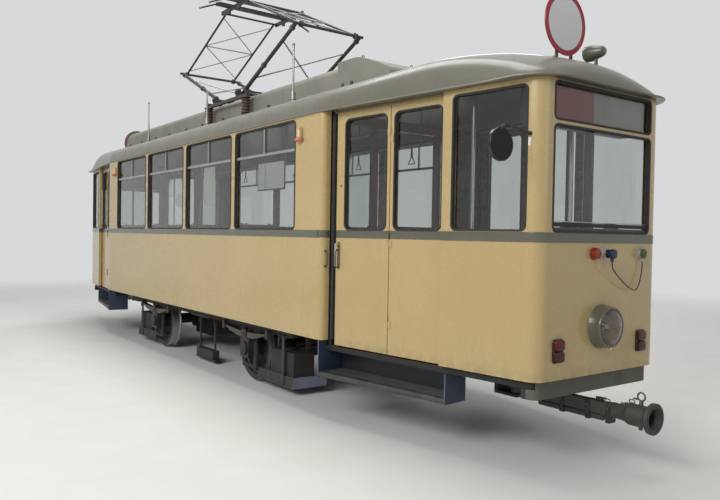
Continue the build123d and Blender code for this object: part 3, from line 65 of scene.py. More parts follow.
class Signal:
    """A shader socket's value, with arithmetic that adds Math nodes."""

    def __init__(self, graph: "Graph", socket: Socket) -> None:
        """Wrap a socket of the graph."""
        self.graph = graph
        self.socket = socket

    def _math(self, operation: str, first: object, second: object = 0.0) -> "Signal":
        """Add a Math node on two values."""
        node = self.graph.node("ShaderNodeMath", {"operation": operation}, {0: first, 1: second})
        return Signal(self.graph, node.outputs[0])

    def __add__(self, other: object) -> "Signal":
        """Sum."""
        return self._math("ADD", self, other)

    def __sub__(self, other: object) -> "Signal":
        """Difference."""
        return self._math("SUBTRACT", self, other)

    def __rsub__(self, other: object) -> "Signal":
        """Difference from a number."""
        return self._math("SUBTRACT", other, self)

    def __mul__(self, other: object) -> "Signal":
        """Product."""
        return self._math("MULTIPLY", self, other)

    def __truediv__(self, other: object) -> "Signal":
        """Quotient."""
        return self._math("DIVIDE", self, other)

    def __pow__(self, other: object) -> "Signal":
        """Power."""
        return self._math("POWER", self, other)

    def __abs__(self) -> "Signal":
        """Size without sign."""
        return self._math("ABSOLUTE", self)

    def wave(self) -> "Signal":
        """Sine."""
        return self._math("SINE", self)

    def least(self, other: object) -> "Signal":
        """Smaller of two values."""
        return self._math("MINIMUM", self, other)

    def most(self, other: object) -> "Signal":
        """Larger of two values."""
        return self._math("MAXIMUM", self, other)

    def rise(self, low: float, high: float) -> "Signal":
        """Smooth step from 0 at low to 1 at high."""
        inputs = {"Value": self, "From Min": low, "From Max": high}
        node = self.graph.node("ShaderNodeMapRange", {"interpolation_type": "SMOOTHSTEP"}, inputs)
        return Signal(self.graph, node.outputs[0])

    def within(self, low: float, high: float, soft: float) -> "Signal":
        """Mask that is 1 between two limits, with soft edges."""
        return self.rise(low - soft, low + soft) * (1 - self.rise(high - soft, high + soft))


class Graph:
    """The nodes of one finish around a Principled shader."""

    def __init__(self, name: str) -> None:
        """Make an empty material with its shader and output."""
        self.material = bpy.data.materials.new(name)
        self.material.use_nodes = True
        self.tree = self.material.node_tree
        self.tree.nodes.clear()
        self.shader = self.node("ShaderNodeBsdfPrincipled", {}, {})
        self.node("ShaderNodeOutputMaterial", {}, {"Surface": self.shader.outputs[0]})
        self._where: bpy.types.Node | None = None

    def node(self, kind: str, settings: dict[str, object], inputs: dict) -> bpy.types.Node:
        """Add a node.

        Args:
            kind: Blender's type of the node.
            settings: Properties set first.
            inputs: Socket name or index to a value, a Signal or another socket.

        Returns:
            The new node.
        """
        made = self.tree.nodes.new(kind)
        for key, value in settings.items():
            setattr(made, key, value)
        for key, value in inputs.items():
            self.feed(made.inputs[key], value)
        return made

    def fill(self, name: str, value: object) -> None:
        """Set or link one of the shader's inputs."""
        self.feed(self.shader.inputs[name], value)

    def drawn(self, name: str) -> Socket:
        """What one of the shader's inputs is linked to."""
        return self.shader.inputs[name].links[0].from_socket

    def feed(self, socket: Socket, value: object) -> None:
        """Set or link one input socket."""
        if isinstance(value, Signal):
            self.tree.links.new(value.socket, socket)
        elif isinstance(value, Socket):
            self.tree.links.new(value, socket)
        else:
            socket.default_value = value

    def where(self) -> Socket:
        """Object coordinates, in metres in the tram's frame."""
        if self._where is None:
            self._where = self.node("ShaderNodeTexCoord", {}, {})
        return self._where.outputs["Object"]

    def parts(self, vector: Socket) -> tuple[Signal, Signal, Signal]:
        """The three parts of a vector."""
        split = self.node("ShaderNodeSeparateXYZ", {}, {0: vector})
        return tuple(Signal(self, out) for out in split.outputs)

    def axes(self) -> tuple[Signal, Signal, Signal]:
        """The three coordinates as values."""
        return self.parts(self.where())

    def facing(self) -> tuple[Signal, Signal, Signal]:
        """The surface normal's three parts."""
        return self.parts(self.node("ShaderNodeNewGeometry", {}, {}).outputs["Normal"])

    def outwards(self) -> Signal:
        """Distance out along the nearest doorway's normal."""
        x, y, _ = self.axes()
        return abs(x) * math.sin(TAPER) + abs(y) * math.cos(TAPER)

    def noise(self, scale: float, detail: float = 3.0, stretch: Point = (1, 1, 1)) -> Signal:
        """Cloudy noise from 0 to 1, its pattern stretched along the axes."""
        place = self.node("ShaderNodeMapping", {}, {"Vector": self.where(), "Scale": stretch})
        inputs = {"Vector": place.outputs[0], "Scale": scale, "Detail": detail}
        return Signal(self, self.node("ShaderNodeTexNoise", {}, inputs).outputs[0])

    def blend(self, factor: object, below: object, above: object) -> Socket:
        """Mix two colours."""
        mixer = self.node("ShaderNodeMix", {"data_type": "RGBA"}, {0: factor, 6: below, 7: above})
        return mixer.outputs[2]

    def over(self, below: object, factor: object, colour: Colour) -> Socket:
        """Lay a plain screen colour over what is below."""
        return self.blend(factor, below, linear(colour))

    def bump(self, height: Signal, distance: float) -> None:
        """Feed a height pattern to the shader's normal."""
        made = self.node("ShaderNodeBump", {}, {"Height": height, "Distance": distance, "Strength": 1.0})
        self.fill("Normal", made.outputs[0])


@dataclass(frozen=True)
class Finish:
    """A surface with clouded colour, uneven gloss, fine grain and dust."""

    name: str
    colour: Colour
    roughness: float = 0.5
    metallic: float = 0.0
    coat: float = 0.0
    mottle: float = 0.12
    mottle_scale: float = 2.5
    grain: float = 0.0002
    grain_scale: float = 160.0
    dust: float = 0.0
    dust_colour: Colour = (150, 142, 128)
    grime: float = 0.0
    grime_colour: Colour = (70, 58, 44)
    specular: float = 0.5

    def material(self) -> bpy.types.Material:
        """Return the material, made once."""
        found = bpy.data.materials.get(self.name)
        if found is None:
            graph = Graph(self.name)
            self.dress(graph)
            found = graph.material
        return found

    def dress(self, graph: Graph) -> None:
        """Fill the shader's sockets."""
        self.constants(graph)
        graph.fill("Base Color", self.tint(graph))
        self.gloss(graph)
        self.texture(graph)

    def constants(self, graph: Graph) -> None:
        """Set what is the same all over."""
        graph.fill("Metallic", self.metallic)
        graph.fill("Coat Weight", self.coat)
        graph.fill("Coat Roughness", 0.08)
        graph.fill("Specular IOR Level", self.specular)

    def tint(self, graph: Graph) -> Socket:
        """The colour, clouded and weathered."""
        return self.weathered(graph, self.clouded(graph))

    def clouded(self, graph: Graph) -> Socket:
        """The colour with slow, soft variation."""
        base = linear(self.colour)
        dark = tuple(c * (1 - self.mottle) for c in base[:3]) + (1.0,)
        light = tuple(min(1.0, c * (1 + self.mottle)) for c in base[:3]) + (1.0,)
        return graph.blend(graph.noise(self.mottle_scale, 4).rise(0.3, 0.7), dark, light)

    def weathered(self, graph: Graph, colour: Socket) -> Socket:
        """Dust on what looks up and grime in patches."""
        if self.dust:
            mask = graph.facing()[2].rise(0.2, 0.95) * graph.noise(9, 5).rise(0.25, 0.75) * self.dust
            colour = graph.blend(mask, colour, linear(self.dust_colour))
        if self.grime:
            mask = graph.noise(5, 8).rise(0.42, 0.8) * self.grime
            colour = graph.blend(mask, colour, linear(self.grime_colour))
        return colour

    def gloss(self, graph: Graph) -> None:
        """Uneven roughness."""
        uneven = graph.noise(self.mottle_scale * 4, 5) - 0.5
        rough = (uneven * (0.35 * self.roughness) + self.roughness).most(0.03).least(1.0)
        graph.fill("Roughness", rough)

    def texture(self, graph: Graph) -> None:
        """Fine grain as bump."""
        if self.grain:
            graph.bump(graph.noise(self.grain_scale, 3), self.grain)


@dataclass(frozen=True)
class BodyPaint(Finish):
    """Cream enamel with a grey belt band, and wooden boards inside."""

    band: Colour = (86, 86, 72)
    band_worn: Colour = (94, 93, 78)
    band_low: float = 1.670 + RAIL
    band_high: float = 1.742 + RAIL
    skirt: float = 0.700 + RAIL
    inside: Colour = (84, 54, 32)
    inside_light: Colour = (132, 88, 50)
    jamb: Flat = (3.225, 3.300)
    jamb_y: float = 1.004
    inner_hw: float = 1.062
    inner_front: float = 5.462
    wall_end: float = 3.263

    def dress(self, graph: Graph) -> None:
        """Fill the shader's sockets."""
        self.constants(graph)
        x, y, z = graph.axes()
        colour = self.clouded(graph)
        streak = graph.noise(3.0, 6, (9, 9, 0.5)).rise(0.48, 0.85)
        low = 1 - z.rise(self.skirt, self.skirt + 0.55)
        rust = graph.noise(4.5, 7, (1, 1, 0.6)).rise(0.56, 0.74) * low * 0.14
        colour = graph.over(colour, rust, (184, 126, 62))
        colour = graph.over(colour, streak * 0.04 + streak * low * 0.10, (116, 96, 62))
        foot = 1 - z.rise(self.skirt - 0.02, self.skirt + 0.07)
        colour = graph.over(colour, foot * graph.noise(14, 5).rise(0.35, 0.7) * 0.3, (92, 76, 52))
        band = z.within(self.band_low, self.band_high, 0.0015)
        shade = graph.noise(6, 5, (0.6, 0.6, 3)).rise(0.3, 0.75)
        stripe = graph.blend(shade, linear(self.band), linear(self.band_worn))
        colour = graph.blend(band, colour, stripe)
        graph.fill("Base Color", graph.blend(self.outside(x, y), self.panelling(graph, x, z), colour))
        uneven = graph.noise(7, 5).rise(0.2, 0.8) * 0.10
        graph.fill("Roughness", uneven + self.roughness + rust * 0.4 + low * streak * 0.15)
        edge = band - z.within(self.band_low + 0.006, self.band_high - 0.006, 0.002)
        graph.bump(graph.noise(1.1, 2) * 1.4 - edge * 0.25, 0.0028)

    def panelling(self, graph: Graph, x: Signal, z: Signal) -> Socket:
        """Wooden boards inside, with dark door jambs."""
        grain = graph.noise(8, 6, (1, 1, 12)).rise(0.3, 0.8)
        wood = graph.blend(grain, linear(self.inside), linear(self.inside_light))
        wood = graph.over(wood, (z * 62).wave().rise(0.94, 1.0) * 0.6, (40, 24, 14))
        return graph.over(wood, abs(x).within(*self.jamb, 0.001), (26, 26, 26))

    def outside(self, x: Signal, y: Signal) -> Signal:
        """Mask of what lies outside the walls' inner faces."""
        across = abs(y).rise(self.inner_hw - 0.004, self.inner_hw + 0.004)
        taper = math.tan(TAPER)
        side = abs(y) + abs(x) * taper - (PILLAR[1] + PILLAR[0] * taper - 0.047)
        cab = abs(x).rise(self.wall_end - 0.001, self.wall_end + 0.001)
        outer = across.most((side / 0.002).rise(0, 1) * cab)
        jamb = abs(x).within(3.250, 3.270, 0.001) * abs(y).rise(self.jamb_y, self.jamb_y + 0.002)
        return outer.most(jamb).most(abs(x).rise(self.inner_front, self.inner_front + 0.003))


@dataclass(frozen=True)
class LeafPaint(BodyPaint):
    """The body's cream on a door leaf, whose pull handle is bright metal."""

    face: float = DOOR_WALL - DOOR_RECESS * math.cos(TAPER)
    post_x: float = 3.450

    def outside(self, x: Signal, y: Signal) -> Signal:
        """Mask of the leaf without its inner face."""
        inner = self.face - LEAF_THICK
        return x.graph.outwards().rise(inner + 0.001, inner + 0.003)

    def dress(self, graph: Graph) -> None:
        """Paint the leaf and pick out its handle."""
        super().dress(graph)
        proud = graph.outwards().rise(self.face + 0.0025, self.face + 0.0035)
        proud = proud * (1 - abs(graph.axes()[0]).rise(self.post_x - 0.01, self.post_x + 0.01))
        graph.fill("Base Color", graph.over(graph.drawn("Base Color"), proud, (205, 205, 202)))
        graph.fill("Metallic", proud)
        graph.fill("Roughness", Signal(graph, graph.drawn("Roughness")) * (1 - proud * 0.4))


@dataclass(frozen=True)
class RoofPaint(Finish):
    """Glossy grey-olive roof enamel with seams and streaks, painted light on its top and painted shade below
    its brim, cream below its rim and pale inside.
    """

    seam_pitch: float = 1.40
    rim_z: float = 2.834 + RAIL
    inside: Flat = (5.44, 1.040)

    def dress(self, graph: Graph) -> None:
        """Fill the shader's sockets."""
        self.constants(graph)
        x, y, z = graph.axes()
        up = graph.facing()[2]
        colour = self.clouded(graph)
        seam = 1 - abs((x / self.seam_pitch * math.pi).wave()).rise(0.004, 0.012)
        seam = seam * up.rise(-0.2, 0.0)
        streak = graph.noise(2.4, 6, (7, 0.7, 1)).rise(0.45, 0.8)
        colour = graph.over(colour, streak * 0.22, (88, 84, 70))
        # Faces that look up are lightened: painted light on the roof's top.
        colour = graph.over(colour, up.rise(0.75, 1.0) * 0.25, (136, 132, 118))
        colour = graph.over(colour, seam * 0.5, (66, 64, 56))
        # Faces that look down get a dark olive: painted shade under the brim and roof edge. Inside the body
        # the pale ceiling is laid over it.
        under = 1 - up.rise(-0.9, -0.3)
        colour = graph.over(colour, under, (80, 78, 66))
        indoors = (1 - abs(x).rise(self.inside[0], self.inside[0] + 0.01)) * under
        indoors = indoors * (1 - abs(y).rise(self.inside[1], self.inside[1] + 0.01))
        colour = graph.over(colour, indoors * z.rise(self.rim_z + 0.02, self.rim_z + 0.03), (150, 140, 112))
        colour = graph.over(colour, 1 - z.rise(self.rim_z - 0.001, self.rim_z), (188, 163, 112))
        graph.fill("Base Color", colour)
        graph.fill("Roughness", graph.noise(5, 5).rise(0.2, 0.8) * 0.10 + self.roughness + streak * 0.08)
        graph.bump(graph.noise(0.9, 1) * 1.2 - seam * 0.4, 0.003)


@dataclass(frozen=True)
class PlainGlass(Finish):
    """Clear pane with faint smears."""

    specular: float = 0.3
    grain: float = 0.0

    def smear(self, graph: Graph) -> Signal:
        """Mask of the smears."""
        return graph.noise(6, 6, (1, 1, 0.4)).rise(0.5, 0.9)

    def tint(self, graph: Graph) -> Socket:
        """The glass, duller where it is smeared."""
        return graph.over(linear(self.colour), self.smear(graph) * 0.3, (176, 178, 172))

    def gloss(self, graph: Graph) -> None:
        """Clear glass, rougher where it is smeared."""
        graph.fill("Transmission Weight", 1.0)
        graph.fill("IOR", 1.45)
        graph.fill("Roughness", self.smear(graph) * 0.02 + self.roughness)


@dataclass(frozen=True)
class WheelSteel(Finish):
    """Dark wheel and axle with a bright running tread."""

    axle_x: float = 1.450
    axle_z: float = 0.380 + RAIL
    tread_r: float = 0.374

    def dress(self, graph: Graph) -> None:
        """Fill the shader's sockets."""
        x, _, z = graph.axes()
        across = abs(x) - self.axle_x
        down = z - self.axle_z
        radius = (across * across + down * down) ** 0.5
        tread = radius.rise(self.tread_r - 0.003, self.tread_r + 0.001)
        bright = graph.blend(graph.noise(30, 3, (1, 8, 1)), linear((150, 148, 144)), linear((182, 180, 176)))
        graph.fill("Base Color", graph.blend(tread, self.tint(graph), bright))
        graph.fill("Metallic", tread * 0.9)
        graph.fill("Roughness", self.roughness - tread * 0.42 + graph.noise(20, 4) * 0.1)
        graph.bump(graph.noise(70, 4), 0.0012)


@dataclass(frozen=True)
class RingedSign(Finish):
    """White enamel disc with a red ring out to its rim, a grey back and grey stays."""

    centre_z: float = 3.425 + RAIL
    ring_in: float = 0.211
    disc: float = 0.252
    disc_x: float = 5.100
    back: Colour = (96, 95, 86)

    def tint(self, graph: Graph) -> Socket:
        """White inside the ring, dusty all over, and grey behind."""
        x, y, z = graph.axes()
        down = z - self.centre_z
        radius = (y * y + down * down) ** 0.5
        ring = radius.rise(self.ring_in - 0.001, self.ring_in + 0.001)
        colour = graph.over(self.clouded(graph), ring, (160, 20, 32))
        colour = graph.over(colour, radius.rise(self.disc, self.disc + 0.001), (62, 60, 56))
        colour = graph.over(colour, graph.noise(8, 6).rise(0.55, 0.9) * 0.25, (150, 140, 118))
        plate = abs(x).rise(self.disc_x - 0.002, self.disc_x - 0.001)
        front = plate * (graph.facing()[0] * x).rise(1.0, 2.0)
        return graph.blend(front, linear(self.back), colour)


@dataclass(frozen=True)
class Timber(Finish):
    """Varnished wood with grain along one axis."""

    along: Point = (0.8, 14.0, 14.0)
    dark: Colour = (70, 38, 18)

    def fibre(self, graph: Graph) -> Signal:
        """Fine fibres along the grain."""
        return graph.noise(22, 4, self.along)

    def tint(self, graph: Graph) -> Socket:
        """Dark and light rings, weathered."""
        tone = (graph.noise(5, 8, self.along) * 0.7 + self.fibre(graph) * 0.3).rise(0.3, 0.7)
        return self.weathered(graph, graph.blend(tone, linear(self.dark), linear(self.colour)))

    def texture(self, graph: Graph) -> None:
        """Fibres as bump."""
        graph.bump(self.fibre(graph), 0.0006)


@dataclass(frozen=True)
class Deck(Timber):
    """Boards on top, and near-black painted shade on the edges and below."""

    def tint(self, graph: Graph) -> Socket:
        """Wood where it looks up, else near-black as painted shade."""
        # Edges and undersides are near-black: painted shade under the doors and the floor.
        return graph.over(super().tint(graph), 1 - graph.facing()[2].rise(0.5, 0.7), (25, 26, 26))


@dataclass(frozen=True)
class FramePaint(Finish):
    """Grimy dark frame whose beams under the fronts are grey-green."""

    beam_x: float = 5.380
    beam_z: float = 0.530 + RAIL

    def tint(self, graph: Graph) -> Socket:
        """Frame paint, with the front beams picked out."""
        x, _, z = graph.axes()
        beam = abs(x).rise(self.beam_x, self.beam_x + 0.002) * z.rise(self.beam_z, self.beam_z + 0.002)
        return self.weathered(graph, graph.over(self.clouded(graph), beam, (86, 90, 79)))


@dataclass(frozen=True)
class GuardPaint(Finish):
    """Dark guard boards with tops lightened as painted light and pale blue-grey end faces."""

    end_x: float = 2.350

    def tint(self, graph: Graph) -> Socket:
        """Dark paint, pale ends, and tops lightened as painted light."""
        along, _, up = graph.facing()
        ends = abs(along).rise(0.7, 0.9) * abs(graph.axes()[0]).rise(self.end_x, self.end_x + 0.01)
        paint = graph.over(self.clouded(graph), ends, (122, 128, 146))
        # Faces that look up are lightened: painted light on the guards' tops.
        return self.weathered(graph, graph.over(paint, up.rise(0.7, 0.9), (104, 104, 98)))


@dataclass(frozen=True)
class TreadPlate(Finish):
    """Step box with blue cheeks whose outer edges are lightened as painted light, a riser darkened as painted
    shade, and a worn grey tread and nosing.
    """

    tread_top: float = 0.420 + RAIL
    cheek_edge: float = DOOR_WALL - 0.075

    def tint(self, graph: Graph) -> Socket:
        """Blue cheeks, riser darkened as painted shade, outer edges lightened as painted light, and grey
        tread.
        """
        along, across, upward = graph.facing()
        # Faces across the step are darkened: painted shade on the riser under the platform.
        edge = abs(across).rise(0.6, 0.8)
        # The cheeks' outward edges are lightened: painted light.
        pale = edge * graph.outwards().rise(self.cheek_edge - 0.005, self.cheek_edge + 0.005)
        colour = graph.over(graph.over(self.clouded(graph), edge, (34, 37, 42)), pale, (74, 86, 106))
        low = 1 - graph.axes()[2].rise(self.tread_top - 0.002, self.tread_top + 0.006)
        tread = (low * (1 - abs(along).rise(0.6, 0.8))).most(upward.rise(0.6, 0.9))
        worn = graph.blend(graph.noise(7, 7).rise(0.3, 0.75), linear((50, 51, 52)), linear((76, 76, 76)))
        return graph.blend(tread, self.weathered(graph, colour), worn)

    def texture(self, graph: Graph) -> None:
        """Coarse wear as bump."""
        graph.bump(graph.noise(60, 4), 0.0010)


@dataclass(frozen=True)
class LampLens(Finish):
    """Coloured lens that glows a little from behind its ribs, with painted shade on alternate ribs."""

    glow: float = 0.25

    def ribs(self, graph: Graph) -> Signal:
        """Level ribs from 0 to 1."""
        return (graph.axes()[2] * 900).wave().rise(-1, 1)

    def tint(self, graph: Graph) -> Socket:
        """The lens, with painted shade on each other rib."""
        dark = tuple(int(c * 0.6) for c in self.colour)
        # Alternate ribs are darkened: painted shade on the ribs.
        return graph.over(linear(self.colour), self.ribs(graph), dark)

    def texture(self, graph: Graph) -> None:
        """Ribs as bump, and the glow."""
        graph.fill("Emission Color", linear(self.colour))
        graph.fill("Emission Strength", self.glow)
        graph.bump(self.ribs(graph), 0.0012)


@dataclass(frozen=True)
class FadingFloor(Finish):
    """Pale floor that fades into the surroundings away from its middle."""

    near: float = 9.0
    far: float = 18.0

    def dress(self, graph: Graph) -> None:
        """Fill the shader's sockets."""
        super().dress(graph)
        x, y, _ = graph.axes()
        away = (x * x + y * y) ** 0.5
        graph.fill("Alpha", 1 - away.rise(self.near, self.far))


class Look(Enum):
    """Every finish of the tram."""

    CREAM = BodyPaint("cream_enamel", (187, 163, 112), 0.22, coat=0.4, mottle=0.03, mottle_scale=1.1)
    LEAF = LeafPaint("cream_enamel_leaf", (187, 163, 112), 0.22, coat=0.4, mottle=0.03, mottle_scale=1.1)
    TRIM_CREAM = Finish("cream_trim", (194, 171, 122), 0.3, coat=0.3, mottle=0.06, grime=0.15,
                        grime_colour=(150, 108, 70))
    ROOF = RoofPaint("roof_enamel", (110, 108, 94), 0.27, coat=0.25, mottle=0.05, mottle_scale=1.6)
    COVER = Finish("cover_paint", (140, 138, 126), 0.5, mottle=0.1, dust=0.4, grime=0.3,
                   grime_colour=(96, 92, 82))
    GLASS = PlainGlass("window_glass", (220, 224, 222), 0.004)
    RUBBER = Finish("black_rubber", (12, 12, 12), 0.6, mottle=0.2, grain=0.0003, specular=0.15)
    ALUMINIUM = Finish("satin_aluminium", (176, 178, 178), 0.34, metallic=1.0, mottle=0.06,
                       grain_scale=300.0, grime=0.15)
    PULL = Finish("worn_chrome", (122, 119, 110), 0.36, metallic=0.8, grime=0.25)
    CHROME = Finish("bright_chrome", (214, 214, 212), 0.12, metallic=1.0, mottle=0.03, grain=0.00003)
    FRAME = Finish("frame_black", (42, 42, 41), 0.72, mottle=0.25, grain=0.0012, grain_scale=60.0,
                   dust=0.55, dust_colour=(104, 94, 80), grime=0.45, grime_colour=(66, 48, 34))
    STEEL = Finish("worn_steel", (96, 92, 88), 0.5, metallic=0.7, mottle=0.2, grain=0.0005, grime=0.5,
                   grime_colour=(78, 54, 36))
    WHEEL = WheelSteel("wheel_steel", (54, 49, 45), 0.72, mottle=0.25, grime=0.5)
    IRON = Finish("oily_iron", (50, 48, 46), 0.48, metallic=0.35, mottle=0.25, grain=0.0010,
                  grain_scale=70.0, dust=0.35, grime=0.35)
    DRAWBAR = Finish("drawbar_grey", (56, 57, 52), 0.5, mottle=0.15, grain=0.0006, dust=0.15, grime=0.35)
    STEP = TreadPlate("step_paint", (48, 61, 82), 0.5, dust=0.1, grime=0.3,
                      grime_colour=(46, 46, 46))
    APRON = GuardPaint("guard_paint", (50, 52, 50), 0.6, mottle=0.15, dust=0.2, grime=0.3)
    UNDER = FramePaint("underframe_paint", (42, 42, 41), 0.7, mottle=0.2, grain=0.0010, grain_scale=60.0,
                       dust=0.4, dust_colour=(104, 94, 80), grime=0.3, grime_colour=(60, 48, 36))
    LAMP_RIM = Finish("lamp_shell", (92, 91, 78), 0.3, coat=0.3, mottle=0.06, grime=0.15)
    REFLECTOR = Finish("reflector", (118, 108, 94), 0.26, metallic=1.0, mottle=0.04, grain=0.0)
    RED_LENS = LampLens("red_lens", (104, 12, 10), 0.34, coat=0.15, mottle=0.05, glow=0.02, specular=0.3)
    DARK_LENS = LampLens("dark_red_lens", (70, 8, 9), 0.34, coat=0.15, mottle=0.05, glow=0.01, specular=0.3)
    AMBER = LampLens("amber_lens", (206, 118, 84), 0.18, coat=0.5, mottle=0.05, glow=0.05)
    OPAL = Finish("opal_glass", (232, 230, 220), 0.25, coat=0.6, mottle=0.02, grain=0.0)
    BLACK_GLOSS = Finish("black_gloss", (16, 16, 18), 0.25, coat=0.25, mottle=0.1, grain=0.00005)
    RING_RED = Finish("ring_red", (160, 20, 32), 0.35, coat=0.2, mottle=0.04, grain=0.0001)
    SIGN = RingedSign("ringed_sign", (228, 228, 228), 0.3, mottle=0.03, grain=0.0001)
    WOOD = Timber("seat_slats", (176, 118, 62), 0.35, coat=0.4, along=(12, 1.0, 12), dark=(120, 70, 32))
    PANEL = Timber("red_brown_panel", (132, 58, 40), 0.34, coat=0.4, along=(10, 10, 0.9), dark=(84, 30, 20))
    PLANKS = Deck("floor_planks", (96, 78, 62), 0.65, along=(0.8, 18, 12), dark=(52, 42, 34), dust=0.3)
    CONTROLLER = Finish("controller_green", (34, 48, 42), 0.3, coat=0.4)
    BRASS = Finish("brass", (186, 150, 84), 0.28, metallic=1.0, mottle=0.1, grime=0.2)
    BLUE_CAP = Finish("blue_cap", (25, 36, 66), 0.42, mottle=0.1)
    RED_CAP = Finish("red_cap", (136, 44, 16), 0.42, mottle=0.1)
    GREEN_CAP = Finish("green_cap", (70, 80, 32), 0.45, mottle=0.1)
    SOCKET = Finish("socket_grey", (108, 106, 102), 0.45, grime=0.25)
    CORD = Finish("cord_rubber", (40, 26, 20), 0.5, mottle=0.1)
    PANTO = Finish("oxide_brown", (54, 48, 46), 0.42, mottle=0.15, grain=0.0005, dust=0.2)
    PANTO_TUBE = Finish("bright_tube", (150, 150, 146), 0.35, metallic=0.8, grime=0.35,
                        grime_colour=(92, 84, 76))
    CARBON = Finish("carbon_strip", (30, 30, 32), 0.35, metallic=0.2, mottle=0.2)
    CERAMIC = Finish("brown_ceramic", (72, 50, 38), 0.2, coat=0.6, mottle=0.08, grain=0.0)
    BLIND_RED = Finish("blind_red", (160, 15, 27), 0.6, mottle=0.08, grain=0.0003)
    BLIND_PALE = Finish("blind_pale", (176, 173, 164), 0.7, mottle=0.05, grain=0.0004, grime=0.2,
                        grime_colour=(150, 142, 122))
    PAPER = Finish("card_white", (222, 222, 216), 0.7, mottle=0.03)
    DARK_GREY = Finish("dark_grey_paint", (58, 60, 64), 0.45, dust=0.1)
    BROWN_STRAP = Finish("strap_leather", (96, 58, 34), 0.5, grain=0.0004)
    LAMP_GLASS = PlainGlass("lamp_glass", (214, 208, 196), 0.03)
    MIRROR_BACK = Finish("mirror_back", (13, 15, 24), 0.5, mottle=0.1, grain=0.0001, specular=0.25)
    MIRROR = Finish("mirror_face", (216, 220, 222), 0.03, metallic=1.0, mottle=0.0, grain=0.0)
    TREAD = Finish("tread_steel", (74, 74, 74), 0.5, metallic=0.2, mottle=0.18, dust=0.1, grime=0.3)
    # Near-black for the discs on the wheels that stand for their holes: painted shade.
    HOLE_SHADE = Finish("painted_hole_shade", (20, 18, 17), 0.9, mottle=0.2)
    STUDIO_FLOOR = FadingFloor("studio_floor", (232, 231, 228), 0.75, mottle=0.015, grain=0.0)

    def material(self) -> bpy.types.Material:
        """The finish's material."""
        return self.value.material()


TRAM = Matrix.Translation((0.0, 0.0, RAIL))
HERE = Matrix.Identity(4)


def at(x: float, y: float, z: float) -> Matrix:
    """Place at a point, its height measured from the rail."""
    return Matrix.Translation((x, y, z))


def turned(degrees: float, axis: str) -> Matrix:
    """Turn about an axis through the origin."""
    return Matrix.Rotation(math.radians(degrees), 4, axis)


def aimed(start: Point, end: Point) -> Matrix:
    """Place at the start with the local Z towards the end."""
    way = Vector(end) - Vector(start)
    return Matrix.Translation(start) @ way.to_track_quat("Z", "Y").to_matrix().to_4x4()


def flipped(side: int, end: int) -> Matrix:
    """Mirror what is made for the left front to another side or end."""
    return Matrix.Diagonal((end, side, 1.0, 1.0))


FACE_OUT = turned(-90, "X")
FACE_IN = turned(90, "X")
FACE_FRONT = turned(90, "Z") @ FACE_IN
ALONG_X = turned(90, "Y")
ACROSS = FACE_OUT
CORNERS = [flipped(side, end) for end in ENDS for side in SIDES]
BOTH_SIDES = [flipped(side, 1) for side in SIDES]
BOTH_ENDS = [HERE, turned(180, "Z")]
END_NAMES = ("front", "rear")


def every(places: Iterable[Matrix], spot: Matrix) -> list[Matrix]:
    """The spot in each place."""
    return [place @ spot for place in places]


def doorway(side: int, end: int) -> Matrix:
    """Frame of a doorway: x from the pillar's pivot, y outwards, z from the rail."""
    out = LEAF_THICK + DOOR_RECESS * math.cos(TAPER)
    return flipped(side, end) @ at(*PILLAR, 0) @ Matrix.Rotation(-TAPER, 4, "Z") @ at(0, -out, 0)


def rounded(points: Sequence[Flat], radii: float | Sequence[float], steps: int,
            close: bool = True) -> list[Flat]:
    """Round the corners of a path.

    Args:
        points: Corner points.
        radii: One radius for each corner, or one for all.
        steps: Chords of each arc.
        close: Whether the path closes.

    Returns:
        The points of the rounded path.
    """
    made: list[Flat] = []
    count = len(points)
    if isinstance(radii, float):
        radii = [radii] * count
    for index, (here, radius) in enumerate(zip(points, radii)):
        if not radius or (not close and index in (0, count - 1)):
            made.append(tuple(here))
            continue
        corner = Vector(here)
        before = (Vector(points[index - 1]) - corner).normalized()
        after = (Vector(points[(index + 1) % count]) - corner).normalized()
        half = before.angle(after) / 2
        centre = corner + (before + after).normalized() * (radius / math.sin(half))
        start = (corner + before * (radius / math.tan(half)) - centre).normalized()
        stop = (corner + after * (radius / math.tan(half)) - centre).normalized()
        made += [tuple(centre + start.slerp(stop, step / steps) * radius) for step in range(steps + 1)]
    return made


def oblong(half_x: float, half_y: float, radius: float, steps: int) -> list[Flat]:
    """Outline of a rectangle about the origin with round corners."""
    points = [(-half_x, -half_y), (half_x, -half_y), (half_x, half_y), (-half_x, half_y)]
    return rounded(points, radius, steps)


def coil(centre: Point, radius: float, turn: int, count: int, rise: float = 0.0,
         axis: str = "Z") -> list[Point]:
    """Points of a circle or coil.

    Args:
        centre: Middle of its first turn.
        radius: Radius of its line.
        turn: Points to one turn.
        count: Points in all.
        rise: Way along the axis from one point to the next.
        axis: The axis it winds about.

    Returns:
        The points in order.
    """
    order = {"X": (2, 0, 1), "Y": (0, 2, 1), "Z": (0, 1, 2)}[axis]
    made = []
    for index in range(count):
        angle = index * math.tau / turn
        part = (radius * math.cos(angle), radius * math.sin(angle), index * rise)
        made.append(tuple(c + part[o] for c, o in zip(centre, order)))
    return made


def soften(made: Shape, edges: list, round_by: float) -> None:
    """Round the given edges."""
    if round_by:
        bmesh.ops.bevel(
            made, geom=edges, offset=round_by, segments=2, profile=0.5, affect="EDGES",
            clamp_overlap=True, material=-1,
        )


def rims(made: Shape) -> list[bmesh.types.BMEdge]:
    """The level edges of a shape."""
    return [e for e in made.edges if abs(e.verts[0].co.z - e.verts[1].co.z) < 1e-6]


